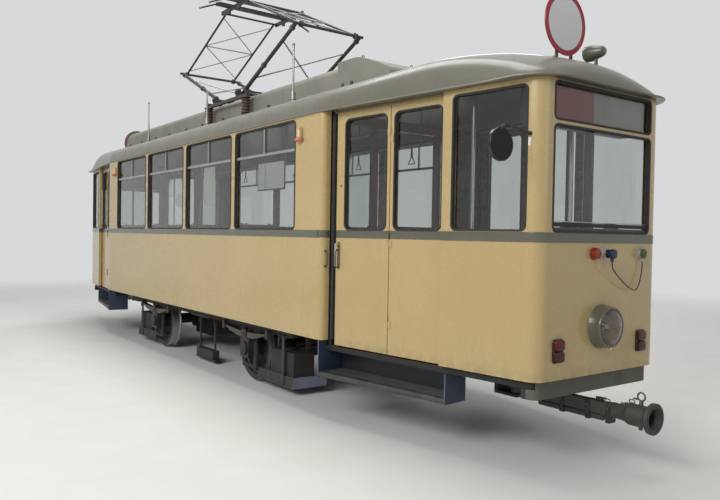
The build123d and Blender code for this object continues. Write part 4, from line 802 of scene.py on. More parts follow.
def thickened(made: Shape, faces: list, thick: float) -> None:
    """Extrude flat faces up the local Z."""
    grown = bmesh.ops.extrude_face_region(made, geom=faces)
    tops = [v for v in grown["geom"] if isinstance(v, bmesh.types.BMVert)]
    bmesh.ops.translate(made, vec=(0, 0, thick), verts=tops)
    bmesh.ops.recalc_face_normals(made, faces=made.faces)


def block(size: Point, round_by: float = 0.0) -> Shape:
    """Box centred on the origin.

    Args:
        size: Lengths along X, Y and Z.
        round_by: Rounding of its edges.

    Returns:
        The shape.
    """
    made = bmesh.new()
    bmesh.ops.create_cube(made, size=1.0)
    bmesh.ops.scale(made, vec=size, verts=made.verts)
    soften(made, made.edges[:], round_by)
    return made


def span(low: Point, high: Point, round_by: float = 0.0) -> Shape:
    """Box between two corners with rounded edges."""
    made = block(tuple(abs(b - a) for a, b in zip(low, high)), round_by)
    bmesh.ops.translate(made, vec=[(a + b) / 2 for a, b in zip(low, high)], verts=made.verts)
    return made


def rod(radius: float, length: float, steps: int = 16, tip: float | None = None,
        round_by: float = 0.0) -> Shape:
    """Round bar from the origin up the local Z.

    Args:
        radius: Radius at its foot.
        length: Length.
        steps: Sides of the bar.
        tip: Radius at its end, the same as at its foot if not given.
        round_by: Rounding of its two rims.

    Returns:
        The shape.
    """
    made = bmesh.new()
    end = radius if tip is None else tip
    bmesh.ops.create_cone(made, cap_ends=True, segments=steps, radius1=radius, radius2=end, depth=length)
    bmesh.ops.translate(made, vec=(0, 0, length / 2), verts=made.verts)
    soften(made, rims(made), round_by)
    return made


def bolt(across: float, tall: float) -> Shape:
    """Hexagon head that stands on the origin."""
    return rod(across / 2, tall, steps=6, round_by=across * 0.06)


def spun(profile: Sequence[Flat], steps: int = 40, close: bool = False) -> Shape:
    """Turned piece about the local Z.

    Args:
        profile: Points of radius and height.
        steps: Parts of the full turn.
        close: Whether the profile's end joins its start.

    Returns:
        The shape.
    """
    made = bmesh.new()
    if close:
        profile = [*profile, profile[0]]
    verts = [made.verts.new((radius, 0, height)) for radius, height in profile]
    edges = [made.edges.new(pair) for pair in zip(verts, verts[1:])]
    bmesh.ops.spin(
        made, geom=verts + edges, cent=(0, 0, 0), axis=(0, 0, 1), angle=math.tau, steps=steps, use_merge=True
    )
    bmesh.ops.remove_doubles(made, verts=made.verts, dist=1e-6)
    bmesh.ops.recalc_face_normals(made, faces=made.faces)
    return made


def pipe(points: Sequence[Point], radius: float, steps: int = 10, close: bool = False) -> Shape:
    """Round tube along points.

    Args:
        points: The tube's middle line.
        radius: Radius of the tube.
        steps: Sides of the tube.
        close: Whether the tube's end joins its start.

    Returns:
        The shape.
    """
    made = bmesh.new()
    spots = [Vector(p) for p in points]
    count = len(spots)
    rings = []
    for index, spot in enumerate(spots):
        before = spots[index - 1] if index or close else spot
        after = spots[(index + 1) % count] if index < count - 1 or close else spot
        way = (after - before).normalized()
        across = Vector((0, 0, 1)).cross(way)
        if across.length < 1e-3:
            across = Vector((0, 1, 0)) if abs(way.y) < 0.9 else Vector((1, 0, 0))
        across.normalize()
        place = Matrix((across * radius, way.cross(across) * radius, way)).transposed().to_4x4()
        place.translation = spot
        ring = bmesh.ops.create_circle(made, cap_ends=False, segments=steps, radius=1.0, matrix=place)
        rings.append(list({e for v in ring["verts"] for e in v.link_edges}))
    pairs = list(zip(rings, rings[1:])) + ([(rings[-1], rings[0])] if close else [])
    for first, second in pairs:
        bmesh.ops.bridge_loops(made, edges=first + second)
    if not close:
        bmesh.ops.holes_fill(made, edges=[e for e in made.edges if e.is_boundary], sides=0)
    bmesh.ops.recalc_face_normals(made, faces=made.faces)
    return made


def bent(points: Sequence[Point], bend: float, radius: float, steps: int = 10) -> Shape:
    """Tube whose inner points are round bends."""
    return pipe(rounded(points, bend, 6, close=False), radius, steps)


def plate(outline: Sequence[Flat], thick: float, round_by: float = 0.0) -> Shape:
    """Flat plate of an outline in XY.

    Args:
        outline: Points of the outline in order.
        thick: Thickness up the local Z.
        round_by: Rounding of the edges of both faces.

    Returns:
        The shape.
    """
    made = bmesh.new()
    face = made.faces.new([made.verts.new((x, y, 0)) for x, y in outline])
    thickened(made, [face], thick)
    soften(made, rims(made), round_by)
    return made


def framed(width: float, height: float, radius: float, inset: float, deep: float,
           round_by: float = 0.003) -> Shape:
    """Rounded rectangular ring in XY.

    Args:
        width: Outer length along X.
        height: Outer length along Y.
        radius: Outer radius of its corners.
        inset: Width of the ring itself.
        deep: Depth up the local Z.
        round_by: Rounding of its upper edges.

    Returns:
        The shape.
    """
    made = bmesh.new()
    loops = []
    for shrink in (0.0, inset):
        corner = max(radius - shrink, 0.004)
        ring = bmesh.ops.create_circle(made, cap_ends=False, segments=40, radius=corner)
        for vert in ring["verts"]:
            vert.co.x += math.copysign(width / 2 - shrink - corner, vert.co.x)
            vert.co.y += math.copysign(height / 2 - shrink - corner, vert.co.y)
        loops += {e for v in ring["verts"] for e in v.link_edges}
    bmesh.ops.bridge_loops(made, edges=loops)
    thickened(made, made.faces[:], deep)
    tops = [e for e in rims(made) if e.verts[0].co.z > deep - 1e-6 and e.calc_face_angle(0.0) > 1.0]
    soften(made, tops, round_by)
    return made


class Form:
    """A piece being put together from shapes, each in one of its looks."""

    def __init__(self, *looks: Look, places: Iterable[Matrix] = (HERE,)) -> None:
        """Start an empty piece with its looks in order, repeated in each of its places."""
        self.bm = bmesh.new()
        self.looks = looks
        self.places = list(places)

    def add(self, shape: Shape, spots: Matrix | Iterable[Matrix] = HERE, look: int = 0) -> None:
        """Add copies of a shape in each of the piece's places.

        Args:
            shape: The shape, which is used up.
            spots: One spot or several within a place, heights from the rail.
            look: Which of the piece's looks it wears.
        """
        for face in shape.faces:
            face.material_index = look
        mesh = bpy.data.meshes.new("shape")
        shape.to_mesh(mesh)
        shape.free()
        spots = [spots] if isinstance(spots, Matrix) else list(spots)
        for spot in [place @ spot for place in self.places for spot in spots]:
            copy = mesh.copy()
            copy.transform(TRAM @ spot)
            if spot.determinant() < 0:
                copy.flip_normals()
            self.bm.from_mesh(copy)
            bpy.data.meshes.remove(copy)
        bpy.data.meshes.remove(mesh)

    def finish(self, name: str, body: str, slot: str, replaces: Sequence[str] = (),
               sharp: float = 35.0) -> None:
        """Turn the piece into an object that rides on a body.

        Args:
            name: The piece's name.
            body: The body that carries it.
            slot: The record's material slot that fits best; not used.
            replaces: Frame nodes that it stands for.
            sharp: Angle in degrees above which an edge stays sharp.
        """
        mesh = bpy.data.meshes.new(name)
        self.bm.to_mesh(mesh)
        self.bm.free()
        mesh.shade_smooth()
        mesh.set_sharp_from_angle(angle=math.radians(sharp))
        for look in self.looks:
            mesh.materials.append(look.material())
        made = bpy.data.objects.new(name, mesh)
        bpy.context.scene.collection.objects.link(made)
        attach(made, body)
        if replaces:
            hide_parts(*replaces)
        log.info("%s on %s, %d faces", name, body, len(mesh.polygons))


def dress(nodes: Nodes, looks: dict[str, Look]) -> None:
    """Give frame nodes their finish.

    Args:
        nodes: The frame's nodes by name.
        looks: Finish of each node, by the start of its name.
    """
    for start, look in looks.items():
        for name, node in nodes.items():
            if name.startswith(start):
                if not node.material_slots:
                    node.data.materials.append(look.material())
                for slot in node.material_slots:
                    slot.material = look.material()


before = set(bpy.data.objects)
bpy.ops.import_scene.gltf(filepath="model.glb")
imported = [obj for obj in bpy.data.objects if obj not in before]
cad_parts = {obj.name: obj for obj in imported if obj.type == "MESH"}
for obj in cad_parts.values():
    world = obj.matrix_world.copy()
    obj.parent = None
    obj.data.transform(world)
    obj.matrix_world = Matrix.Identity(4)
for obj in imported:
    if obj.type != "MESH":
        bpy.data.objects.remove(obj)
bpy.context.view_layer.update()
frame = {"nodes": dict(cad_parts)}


@dataclass
class Bodywork:
    """Walls, roof and floor, with the rim's bead, rain strips and fittings beside the doors."""

    half_width: float = 1.110
    shoulder: float = 3.192
    brim: Flat = (5.075, 0.862)
    front: Flat = (5.590, 0.849)
    corner: float = 0.295
    rim_z: float = 2.842
    bead: float = 0.009
    jamb: Flat = (3.2595, 1.052)
    pull: Flat = (1.405, 1.545)
    screen: Flat = (0.600, 1.742)
    screen_x: float = 5.476
    wall_y: float = 1.099
    gutter: Point = (3.200, 2.8235, 2.8315)
    strip: Point = (3.220, 0.716, 0.728)
    screws: int = 22

    def rim(self) -> None:
        """Rolled bead along the roof's edge and round the brims of its ends."""
        quarter = [(self.shoulder, self.half_width), self.brim, self.front]
        ring = quarter + [(x, -y) for x, y in reversed(quarter)]
        ring += [(-x, -y) for x, y in quarter] + [(-x, y) for x, y in reversed(quarter)]
        radii = [2.5, 1.0, self.corner, self.corner, 1.0, 2.5] * 2
        path = [(x, y, self.rim_z) for x, y in rounded(ring, radii, 12)]
        form = Form(Look.ROOF)
        form.add(pipe(path, self.bead, 10, close=True))
        form.finish("roof_rim_bead", CARBODY, "roof_grey")

    def pulls(self) -> None:
        """Slim grab handle on the jamb beside each doorway."""
        low, high = self.pull
        grip = [(0, 0, low), (0.034, 0, low), (0.034, 0, high), (0, 0, high)]
        form = Form(Look.STEEL, places=every(CORNERS, at(*self.jamb, 0)))
        form.add(bent(grip, 0.016, 0.0060, 12))
        for z in (low, high):
            form.add(rod(0.012, 0.004, 20, round_by=0.0015), at(0, 0, z) @ ALONG_X)
        form.finish("grab_handles", CARBODY, "aluminium")

    def rain_strips(self) -> None:
        """Thin gutter above the side windows, a strip along the skirt and its screws."""
        form = Form(Look.TRIM_CREAM, places=BOTH_SIDES)
        for (half, low, high), proud in ((self.gutter, 0.009), (self.strip, 0.0055)):
            form.add(span((-half, self.wall_y, low), (half, self.wall_y + proud, high), 0.002))
        form.finish("body_mouldings", CARBODY, "cream_paint")
        form = Form(Look.TRIM_CREAM, places=BOTH_SIDES)
        spots = [at(-3.15 + 0.30 * i, 1.0995, 0.765) @ FACE_OUT for i in range(self.screws)]
        form.add(rod(0.0075, 0.0028, 10, tip=0.004), spots)
        form.finish("skirt_screws", CARBODY, "cream_paint")

    def screen_foot(self) -> None:
        """Double rubber strip inside the foot of each windscreen."""
        half, low = self.screen
        form = Form(Look.RUBBER, Look.DARK_GREY, Look.ALUMINIUM, places=BOTH_ENDS)
        strips = ((0.008, 0.030, 0.016, 1), (0.044, 0.030, 0.012, 0), (0.078, 0.006, 0.014, 2))
        for z, tall, deep, look in strips:
            foot = span((self.screen_x, -half, low + z), (self.screen_x + deep, half, low + z + tall), 0.0025)
            form.add(foot, HERE, look)
        form.finish("screen_foot_strips", CARBODY, "black_rubber")

    def build(self, nodes: Nodes) -> None:
        """Dress the body and add its trim."""
        dress(nodes, {
            "side_wall": Look.CREAM, "end_wall": Look.CREAM, "roof": Look.ROOF, "floor": Look.PLANKS,
            "side_glass": Look.GLASS, "end_glass": Look.GLASS, "rubber_seals": Look.RUBBER,
            "vent_bars": Look.ALUMINIUM,
        })
        self.rim()
        self.pulls()
        self.rain_strips()
        self.screen_foot()


@dataclass
class Boards:
    """Roller blinds behind the upper front windows and blank boards in the saloon's windows."""

    low: float = 2.548
    high: float = 2.832
    half: float = 0.625
    field: float = 0.600
    box_x: float = 5.200
    face_x: float = 5.436
    parting: float = -0.080
    window_y: float = -1.052

    def blinds(self) -> None:
        """Blind box with its two coloured fields and its roller."""
        form = Form(Look.DARK_GREY, Look.BLIND_RED, Look.BLIND_PALE, places=BOTH_ENDS)
        x0, x1 = self.face_x, self.face_x + 0.006
        form.add(span((self.box_x, -self.half, self.low), (x0, self.half, self.high), 0.004))
        form.add(span((x0, -self.field, self.low + 0.015), (x1, self.parting, self.high - 0.015)), HERE, 1)
        pale = span((x0, self.parting + 0.004, self.low + 0.030), (x1, self.field, self.high - 0.022))
        form.add(pale, HERE, 2)
        form.add(rod(0.008, 2 * self.field, 12), at(x1, -self.field, self.high - 0.012) @ ACROSS)
        form.finish("roller_blinds", CARBODY, "sign_white")

    def route_boards(self) -> None:
        """Blank two-part board and a blank sheet behind the right side's windows."""
        y = self.window_y
        form = Form(Look.PAPER, Look.DARK_GREY)
        form.add(span((1.93, y, 2.170), (2.075, y + 0.006, 2.445), 0.002))
        form.add(span((2.085, y, 2.170), (2.48, y + 0.006, 2.445), 0.002))
        form.add(span((1.915, y + 0.004, 2.155), (2.495, y + 0.012, 2.460), 0.002), HERE, 1)
        form.add(span((0.50, y + 0.004, 2.04), (0.83, y + 0.006, 2.50)))
        form.add(rod(0.004, 0.42, 8), [at(x, y + 0.010, 2.44) for x in (1.99, 2.42)], 1)
        form.finish("window_boards", CARBODY, "sign_white")

    def build(self) -> None:
        """Make the blinds and boards."""
        self.blinds()
        self.route_boards()


@dataclass
class Doors:
    """Folding leaves with rubber window frames, pulls and locks."""

    window: Flat = (0.530, 1.010)
    window_r: float = 0.060
    window_z: float = 2.250
    pane_y: float = 0.0145
    centres: Flat = (-0.309, -0.925)
    pull: Point = (-1.258, 1.400, 1.560)
    lock: Flat = (-1.236, 2.150)

    def rubber(self, form: Form, centre: float) -> None:
        """Rubber frame that holds a leaf's pane, outside and inside."""
        wide, tall = self.window
        outer = at(centre, 0, self.window_z) @ FACE_OUT
        inner = at(centre, 0, self.window_z) @ FACE_IN
        for spot, z, more, inset, deep, soft in (
            (outer, self.pane_y, 0, 0.011, LEAF_THICK - self.pane_y, 0),
            (outer, LEAF_THICK - 0.0005, 0.006, 0.016, 0.004, 0.0015),
            (inner, -0.0005, 0.008, 0.022, 0.004, 0.0015),
            (inner, -0.0085, 0, 0.010, 0.009, 0),
        ):
            ring = framed(wide + 2 * more, tall + 2 * more, self.window_r + more, inset, deep, soft)
            form.add(ring, spot @ at(0, 0, z))

    def fittings(self, form: Form) -> None:
        """Bright pull with its plate at the free leaf's edge and the lock above the belt."""
        x, low, high = self.pull
        y = LEAF_THICK
        form.add(plate(oblong(0.019, 0.128, 0.018, 6), 0.004, 0.0015),
                 at(x, y - 0.001, (low + high) / 2 + 0.028) @ FACE_OUT)
        grip = [(x, y, low), (x, y + 0.050, low), (x, y + 0.050, high), (x, y, high)]
        form.add(bent(grip, 0.026, 0.0085, 12))
        form.add(rod(0.010, 0.008, 16, round_by=0.002), at(x, y + 0.002, high + 0.040) @ FACE_OUT, 1)
        x, z = self.lock
        form.add(rod(0.012, 0.004, 20, round_by=0.001), at(x, y - 0.001, z) @ FACE_OUT, 2)
        form.add(rod(0.0045, 0.006, 10), at(x, y - 0.001, z) @ FACE_OUT, 1)

    def leaf(self, kind: str, centre: float, side: int, end: int) -> None:
        """Add the rubber of one leaf, and the free leaf's fittings.

        Args:
            kind: Pillar or free.
            centre: Middle of its pane, from the pillar's pivot.
            side: 1 for left, -1 for right.
            end: 1 for front, -1 for rear.
        """
        way = f"{'front' if end > 0 else 'rear'}_{'left' if side > 0 else 'right'}"
        body = f"door_{kind}_leaf_{way}"
        form = Form(Look.RUBBER, places=[doorway(side, end)])
        self.rubber(form, centre)
        form.finish(f"window_rubber_{kind}_{way}", body, "black_rubber")
        if kind == "free":
            form = Form(Look.PULL, Look.DARK_GREY, Look.BRASS, places=[doorway(side, end)])
            self.fittings(form)
            form.finish(f"door_pull_{way}", body, "aluminium")

    def build(self, nodes: Nodes) -> None:
        """Dress all eight leaves."""
        for kind in ("pillar", "free"):
            dress(nodes, {f"door_{kind}_leaf": Look.LEAF, f"door_{kind}_glass": Look.GLASS})
        for end in ENDS:
            for side in SIDES:
                for kind, centre in zip(("pillar", "free"), self.centres):
                    self.leaf(kind, centre, side, end)


@dataclass
class Saloon:
    """Slatted benches, partitions with mouldings, straps and ceiling lamps."""

    seat_z: float = 1.300
    depth: float = 0.420
    back: float = 0.480
    seat_slats: int = 7
    back_slats: int = 8
    rows: Sequence[float] = (-2.700, -1.290, 0.120, 1.530)
    facing_gap: float = 1.170
    columns: Sequence[Flat] = ((0.130, 0.980), (-0.980, -0.560))
    rail_y: float = 0.420
    rail_z: float = 2.700
    first_strap: float = -2.750
    strap_pitch: float = 0.500
    strap_count: int = 12
    ceiling_z: float = 3.258
    partition_x: float = 3.160
    pane: Flat = (0.700, 2.270)
    lamps_x: Sequence[float] = (-2.1, -0.7, 0.7, 2.1)
    hangers_x: Sequence[float] = (-2.9, -1.45, 0.0, 1.45, 2.9)

    def slats(self, timber: Form, wide: float) -> None:
        """Curved seat and leaning back of one bench, with its top rail.

        Args:
            timber: Piece that takes them.
            wide: Width of the bench.
        """
        last = self.seat_slats - 1
        for index in range(self.seat_slats):
            along = 0.030 + index * (self.depth - 0.050) / last
            sag = 0.012 * math.sin(math.pi * index / last)
            timber.add(block((0.046, wide, 0.018), 0.006), at(along, 0, -0.010 - sag))
        for index in range(self.back_slats):
            z = 0.070 + index * (self.back - 0.090) / (self.back_slats - 1)
            lean = -0.006 - 0.040 * z / self.back
            timber.add(block((0.018, wide, 0.044), 0.006), at(lean, 0, z) @ turned(-5, "Y"))
        timber.add(rod(0.017, wide, 14, round_by=0.006), at(-0.040, -wide / 2, self.back + 0.004) @ ACROSS)

    def irons(self, iron: Form, wide: float) -> None:
        """Side plates, legs, stretcher and grips of one bench.

        Args:
            iron: Piece that takes them.
            wide: Width of the bench.
        """
        side = [(0.010, 0.46), (-0.052, 0.47), (-0.030, 0), (-0.020, -0.055), (0.400, -0.055),
                (0.405, -0.026), (0.20, -0.036), (0.012, -0.022)]
        outline = rounded(side, [0.010, 0.010, 0, 0.014, 0.010, 0.010, 0, 0.010], 3)
        for y in (-wide / 2 + 0.045, wide / 2 - 0.055):
            iron.add(plate(outline, 0.010, 0.002), at(0, y + 0.010, 0) @ FACE_IN)
            for along in (0.050, self.depth - 0.050):
                iron.add(rod(0.013, 0.395, 12, tip=0.016), at(along, y + 0.005, -0.440))
                iron.add(rod(0.030, 0.008, 16, round_by=0.002), at(along, y + 0.005, -0.440))
        iron.add(rod(0.009, wide - 0.10, 10), at(0.05, -wide / 2 + 0.05, -0.24) @ ACROSS)
        for y in (-wide / 2 + 0.03, wide / 2 - 0.03):
            grip = [(-0.03, -0.06), (-0.085, -0.02), (-0.09, 0.03), (-0.04, 0.03)]
            iron.add(pipe([(x, y, self.back + z) for x, z in grip], 0.007, 8))

    def benches(self) -> None:
        """All benches in place of the plain ones."""
        timber, iron = Form(Look.WOOD), Form(Look.DARK_GREY)
        for row in self.rows:
            for face in (1, -1):
                for y0, y1 in self.columns:
                    x = row + (0 if face > 0 else self.facing_gap)
                    spot = at(x, (y0 + y1) / 2, self.seat_z) @ flipped(1, face)
                    timber.places = iron.places = [spot]
                    self.slats(timber, y1 - y0)
                    self.irons(iron, y1 - y0)
        timber.finish("bench_slats", CARBODY, "wood", ["seats"])
        iron.finish("bench_frames", CARBODY, "wood")

    def ceiling(self) -> None:
        """Round opal lamps on the ceiling."""
        form = Form(Look.OPAL, Look.CHROME, places=[at(x, 0, self.ceiling_z) for x in self.lamps_x])
        shade = [(0, -0.075), (0.05, -0.070), (0.085, -0.050), (0.100, -0.020), (0.100, 0), (0, 0)]
        form.add(spun(shade, 32))
        ring = [(0.100, -0.018), (0.112, -0.014), (0.112, 0.004), (0.100, 0.004)]
        form.add(spun(ring, 32, close=True), HERE, 1)
        form.finish("ceiling_lamps", CARBODY, "aluminium")

    def straps(self) -> None:
        """Leather straps on the rails and the rails' hangers."""
        form = Form(Look.BROWN_STRAP, Look.ALUMINIUM)
        loop = [(0, 0.018), (-0.012, -0.13), (-0.055, -0.20), (0.055, -0.20), (0.012, -0.13)]
        for y in (self.rail_y, -self.rail_y):
            for index in range(self.strap_count):
                spot = at(self.first_strap + index * self.strap_pitch, y, self.rail_z)
                form.add(pipe([(x, 0, z) for x, z in loop], 0.007, 8, close=True), spot)
            for x in self.hangers_x:
                form.add(rod(0.012, 0.50, 12), at(x, y, self.rail_z + 0.01), 1)
                form.add(rod(0.022, 0.045, 14, round_by=0.004), at(x - 0.022, y, self.rail_z) @ ALONG_X, 1)
        form.finish("straps", CARBODY, "aluminium")

    def mouldings(self) -> None:
        """Frames round the partitions' windows, with their panes."""
        form = Form(Look.PANEL, Look.GLASS)
        y, z = self.pane
        for end in ENDS:
            for side in SIDES:
                middle = at(end * self.partition_x, side * y, z)
                for face in (1, -1):
                    turn = turned(90 * face, "Y") @ turned(90 * face, "Z")
                    spot = middle @ at(face * 0.019, 0, 0) @ turn
                    form.add(framed(0.556, 1.056, 0.078, 0.030, 0.012), spot)
                form.add(block((0.006, 0.500, 1.000)), middle, 1)
        form.finish("partition_frames", CARBODY, "brown_wood")

    def build(self, nodes: Nodes) -> None:
        """Dress the saloon and add its fittings."""
        dress(nodes, {"partitions": Look.PANEL, "handrails": Look.ALUMINIUM})
        self.benches()
        self.ceiling()
        self.straps()
        self.mouldings()


@dataclass
class Cab:
    """Driver's places at both ends: controller, brake wheel, shelf and poles."""

    controller: Flat = (5.150, 0.330)
    brake: Flat = (5.150, -0.330)
    floor_z: float = 0.655
    wheel_z: float = 1.530
    wheel_r: float = 0.170
    knob_y: float = 0.140
    shelf: Point = (5.20, 5.449, 1.690)
    shelf_half: float = 0.66
    pole: Flat = (4.720, 0.620)
    gauges: Point = (-0.200, 0.020, 0.360)

    def drum(self, form: Form) -> None:
        """Controller drum with its dial, crank and knob."""
        x, y = self.controller
        drum = [(0, self.floor_z), (0.170, self.floor_z), (0.170, 0.70), (0.150, 0.715), (0.150, 1.570),
                (0.164, 1.585), (0.164, 1.615), (0.150, 1.640), (0.055, 1.652), (0, 1.652)]
        form.add(spun(drum, 40), at(x, y, 0))
        dial = [(0.060, 1.650), (0.142, 1.643), (0.142, 1.648), (0.060, 1.656)]
        form.add(spun(dial, 40, close=True), at(x, y, 0), 1)
        form.add(rod(0.020, 0.075, 16, round_by=0.004), at(x, y, 1.645), 1)
        crank = [(x, y, 1.705), (x, y - 0.10, 1.712), (x, self.knob_y, 1.700)]
        form.add(bent(crank, 0.03, 0.012, 10), HERE, 1)
        knob = [(0, 0.100), (0.014, 0.097), (0.021, 0.080), (0.019, 0.045), (0.013, 0.010), (0.013, 0),
                (0, 0)]
        form.add(spun(knob, 24), at(x, self.knob_y, 1.698), 2)

    def hand_brake(self, form: Form) -> None:
        """Brake stand with its wheel."""
        x, y = self.brake
        stand = [(0, self.floor_z), (0.085, self.floor_z), (0.080, 0.675), (0.040, 0.72), (0.034, 1.46),
                 (0.048, 1.475), (0.048, 1.515), (0.030, 1.545), (0, 1.550)]
        form.add(spun(stand, 28), at(x, y, 0))
        form.add(pipe(coil((x, y, self.wheel_z), self.wheel_r, 40, 40), 0.013, 10, close=True), HERE, 1)
        spokes = [at(x, y, self.wheel_z) @ turned(a * 90, "Z") @ ALONG_X for a in range(4)]
        form.add(rod(0.010, self.wheel_r, 10, tip=0.008), spokes, 1)

    def shelves(self) -> None:
        """Shelf below the windscreen with gauge cases, poles inside the doors and the dark post."""
        x0, x1, z = self.shelf
        form = Form(Look.PANEL, Look.BLACK_GLOSS, Look.CHROME, Look.PAPER, Look.DARK_GREY, places=BOTH_ENDS)
        form.add(span((x0, -self.shelf_half, z), (x1, self.shelf_half, z + 0.025), 0.004))
        case = [(0, 0.012), (0.050, 0.012), (0.056, 0.004), (0.056, -0.050), (0.045, -0.060), (0, -0.060)]
        bezel = [(0.048, 0.012), (0.060, 0.014), (0.060, 0.004), (0.050, 0.006)]
        for y in self.gauges:
            spot = at(x0 + 0.10, y, z + 0.085) @ turned(-90, "Y")
            form.add(spun(case, 28), spot, 1)
            form.add(spun(bezel, 28, close=True), spot, 2)
            form.add(rod(0.048, 0.003, 28), spot @ at(0, 0, 0.0115), 3)
        x, y = self.pole
        form.add(rod(0.016, 2.16, 16), [at(x, -y, self.floor_z), at(x, y, self.floor_z)], 2)
        form.add(span((5.36, -0.04, 2.60), (5.40, 0.0, 1.72), 0.006), HERE, 4)
        form.finish("cab_fittings", CARBODY, "controller_green")

    def build(self) -> None:
        """Make the driver's places."""
        form = Form(Look.CONTROLLER, Look.BRASS, Look.BLACK_GLOSS, places=BOTH_ENDS)
        self.drum(form)
        self.hand_brake(form)
        form.finish("driver_controls", CARBODY, "controller_green", ["controllers"])
        self.shelves()


@dataclass
class FrontFittings:
    """Lamps, sockets, mirrors and signals of the two ends."""

    front: float = 5.499
    headlamp_z: float = 1.035
    tail: Flat = (0.520, 0.889)
    tail_pitch: float = 0.084
    lens: Flat = (0.053, 0.039)
    socket_z: float = 1.590
    socket_half: float = 0.047
    red_y: float = -0.120
    blue_y: float = 0.010
    green_y: float = 0.490
    cap_z: float = 0.0445
    mirror: Point = (5.390, -1.040, 2.340)
    mirror_foot_y: float = -0.757
    signal: Point = (2.880, 1.120, 2.660)

    def headlamp(self) -> None:
        """Conical headlamp drum with its rim, reflector, bulb and domed glass."""
        places = every(BOTH_ENDS, at(self.front, 0, self.headlamp_z) @ ALONG_X)
        form = Form(Look.LAMP_RIM, Look.REFLECTOR, Look.OPAL, Look.CHROME, places=places)
        drum = [(0.130, 0), (0.1685, 0), (0.1700, 0.003), (0.1675, 0.007), (0.1550, 0.076), (0.1560, 0.080),
                (0.1560, 0.088), (0.1530, 0.0940), (0.1420, 0.0945), (0.1385, 0.0900), (0.1370, 0.070)]
        dish = [(0.1378, 0.086), (0.122, 0.058), (0.095, 0.032), (0.063, 0.016), (0.022, 0.008), (0, 0.007)]
        bulb = [(0, 0.060), (0.012, 0.058), (0.019, 0.048), (0.019, 0.038), (0.011, 0.024), (0.010, 0.008),
                (0, 0.008)]
        holder = [(0.010, 0.026), (0.024, 0.022), (0.024, 0.008), (0.010, 0.008)]
        form.add(spun(drum, 64, close=True))
        form.add(spun(dish, 48), HERE, 1)
        form.add(spun(bulb, 20), HERE, 2)
        form.add(spun(holder, 24, close=True), HERE, 3)
        form.add(block((0.014, 0.012, 0.016), 0.003), at(0.160, 0, 0.084), 3)
        form.finish("headlamp_cases", CARBODY, "headlamp", ["headlamps"], sharp=28)
        form = Form(Look.LAMP_GLASS, places=places)
        outer = [(0.1380, 0.0905), (0.126, 0.0970), (0.100, 0.1035), (0.060, 0.1070), (0, 0.1085)]
        inner = [(0, 0.1040), (0.060, 0.1025), (0.100, 0.0990), (0.124, 0.0925), (0.1365, 0.0865)]
        form.add(spun(outer + inner, 56, close=True))
        form.finish("headlamp_glasses", CARBODY, "headlamp")

    def tail_lamps(self) -> None:
        """Two rounded lenses, the lower one darker, on a near-black base at each corner."""
        form = Form(Look.BLACK_GLOSS, Look.RED_LENS, Look.DARK_LENS,
                    places=every(CORNERS, at(self.front, *self.tail) @ FACE_FRONT))
        form.add(plate(oblong(0.059, 0.088, 0.022, 6), 0.011, 0.003))
        wide, tall = self.lens
        for level, look in ((0.5, 1), (-0.5, 2)):
            spot = at(0, level * self.tail_pitch, 0)
            form.add(plate(oblong(wide, tall, 0.022, 6), 0.034, 0.011), spot, look)
            form.add(framed(2 * wide + 0.007, 2 * tall + 0.005, 0.024, 0.006, 0.016, 0.002), spot)
        form.finish("tail_lamp_pairs", CARBODY, "lamp", ["tail_lamps"])

    def socket(self, form: Form, y: float, look: int, square: bool) -> None:
        """Flange and barrel of one socket.

        Args:
            form: Piece that takes it.
            y: Place across the front.
            look: Which of the piece's looks it wears.
            square: Whether its flange is square with four bolts, or round.
        """
        form.places = every(BOTH_ENDS, at(self.front, y, self.socket_z) @ FACE_FRONT)
        barrel = [(0.0, 0.008), (0.037, 0.008), (0.037, 0.012), (0.034, 0.016), (0.034, 0.030),
                  (0.034, 0.037), (0.030, 0.0385), (0, 0.038)]
        form.add(spun(barrel, 28), HERE, look)
        if square:
            form.add(plate(oblong(self.socket_half, self.socket_half, 0.016, 5), 0.009, 0.002), HERE, look)
            spots = [at(a * 0.036, b * 0.036, 0.009) for a in (-1, 1) for b in (-1, 1)]
            form.add(bolt(0.009, 0.003), spots, 4)
        else:
            form.add(rod(self.socket_half, 0.009, 36, round_by=0.002), HERE, look)

    def socket_caps(self) -> None:
        """Flanged sockets with closed caps beside the one that holds the collared plug."""
        form = Form(Look.SOCKET, Look.RED_CAP, Look.GREEN_CAP, Look.BLUE_CAP, Look.CHROME, Look.BLACK_GLOSS)
        dome = [(0, 0.012), (0.018, 0.011), (0.031, 0.006), (0.038, 0), (0.039, -0.012), (0.037, -0.014),
                (0, -0.012)]
        hinge = at(0, 0.040, 0.028)
        cap = at(0, 0, self.cap_z)
        self.socket(form, self.red_y, 1, square=False)
        form.add(block((0.018, 0.010, 0.024), 0.003), hinge, 1)
        form.add(spun(dome, 28), cap, 1)
        self.socket(form, self.blue_y, 0, square=True)
        front, rear = form.places
        form.places = [rear]
        form.add(spun(dome, 28), cap, 3)
        form.places = [front]
        form.add(rod(0.034, 0.016, 28, round_by=0.003), at(0, 0, 0.037), 5)
        form.add(rod(0.036, 0.030, 28, round_by=0.004), at(0, 0, 0.068), 3)
        self.socket(form, self.green_y, 0, square=True)
        form.add(block((0.018, 0.010, 0.024), 0.003), hinge)
        form.add(spun(dome, 28), cap, 2)
        form.places = BOTH_ENDS
        spout = at(self.front + 0.027, self.green_y, self.socket_z - 0.063)
        form.add(rod(0.010, 0.030, 14, round_by=0.002), spout)
        form.finish("socket_set", CARBODY, "socket_grey", ["sockets"])

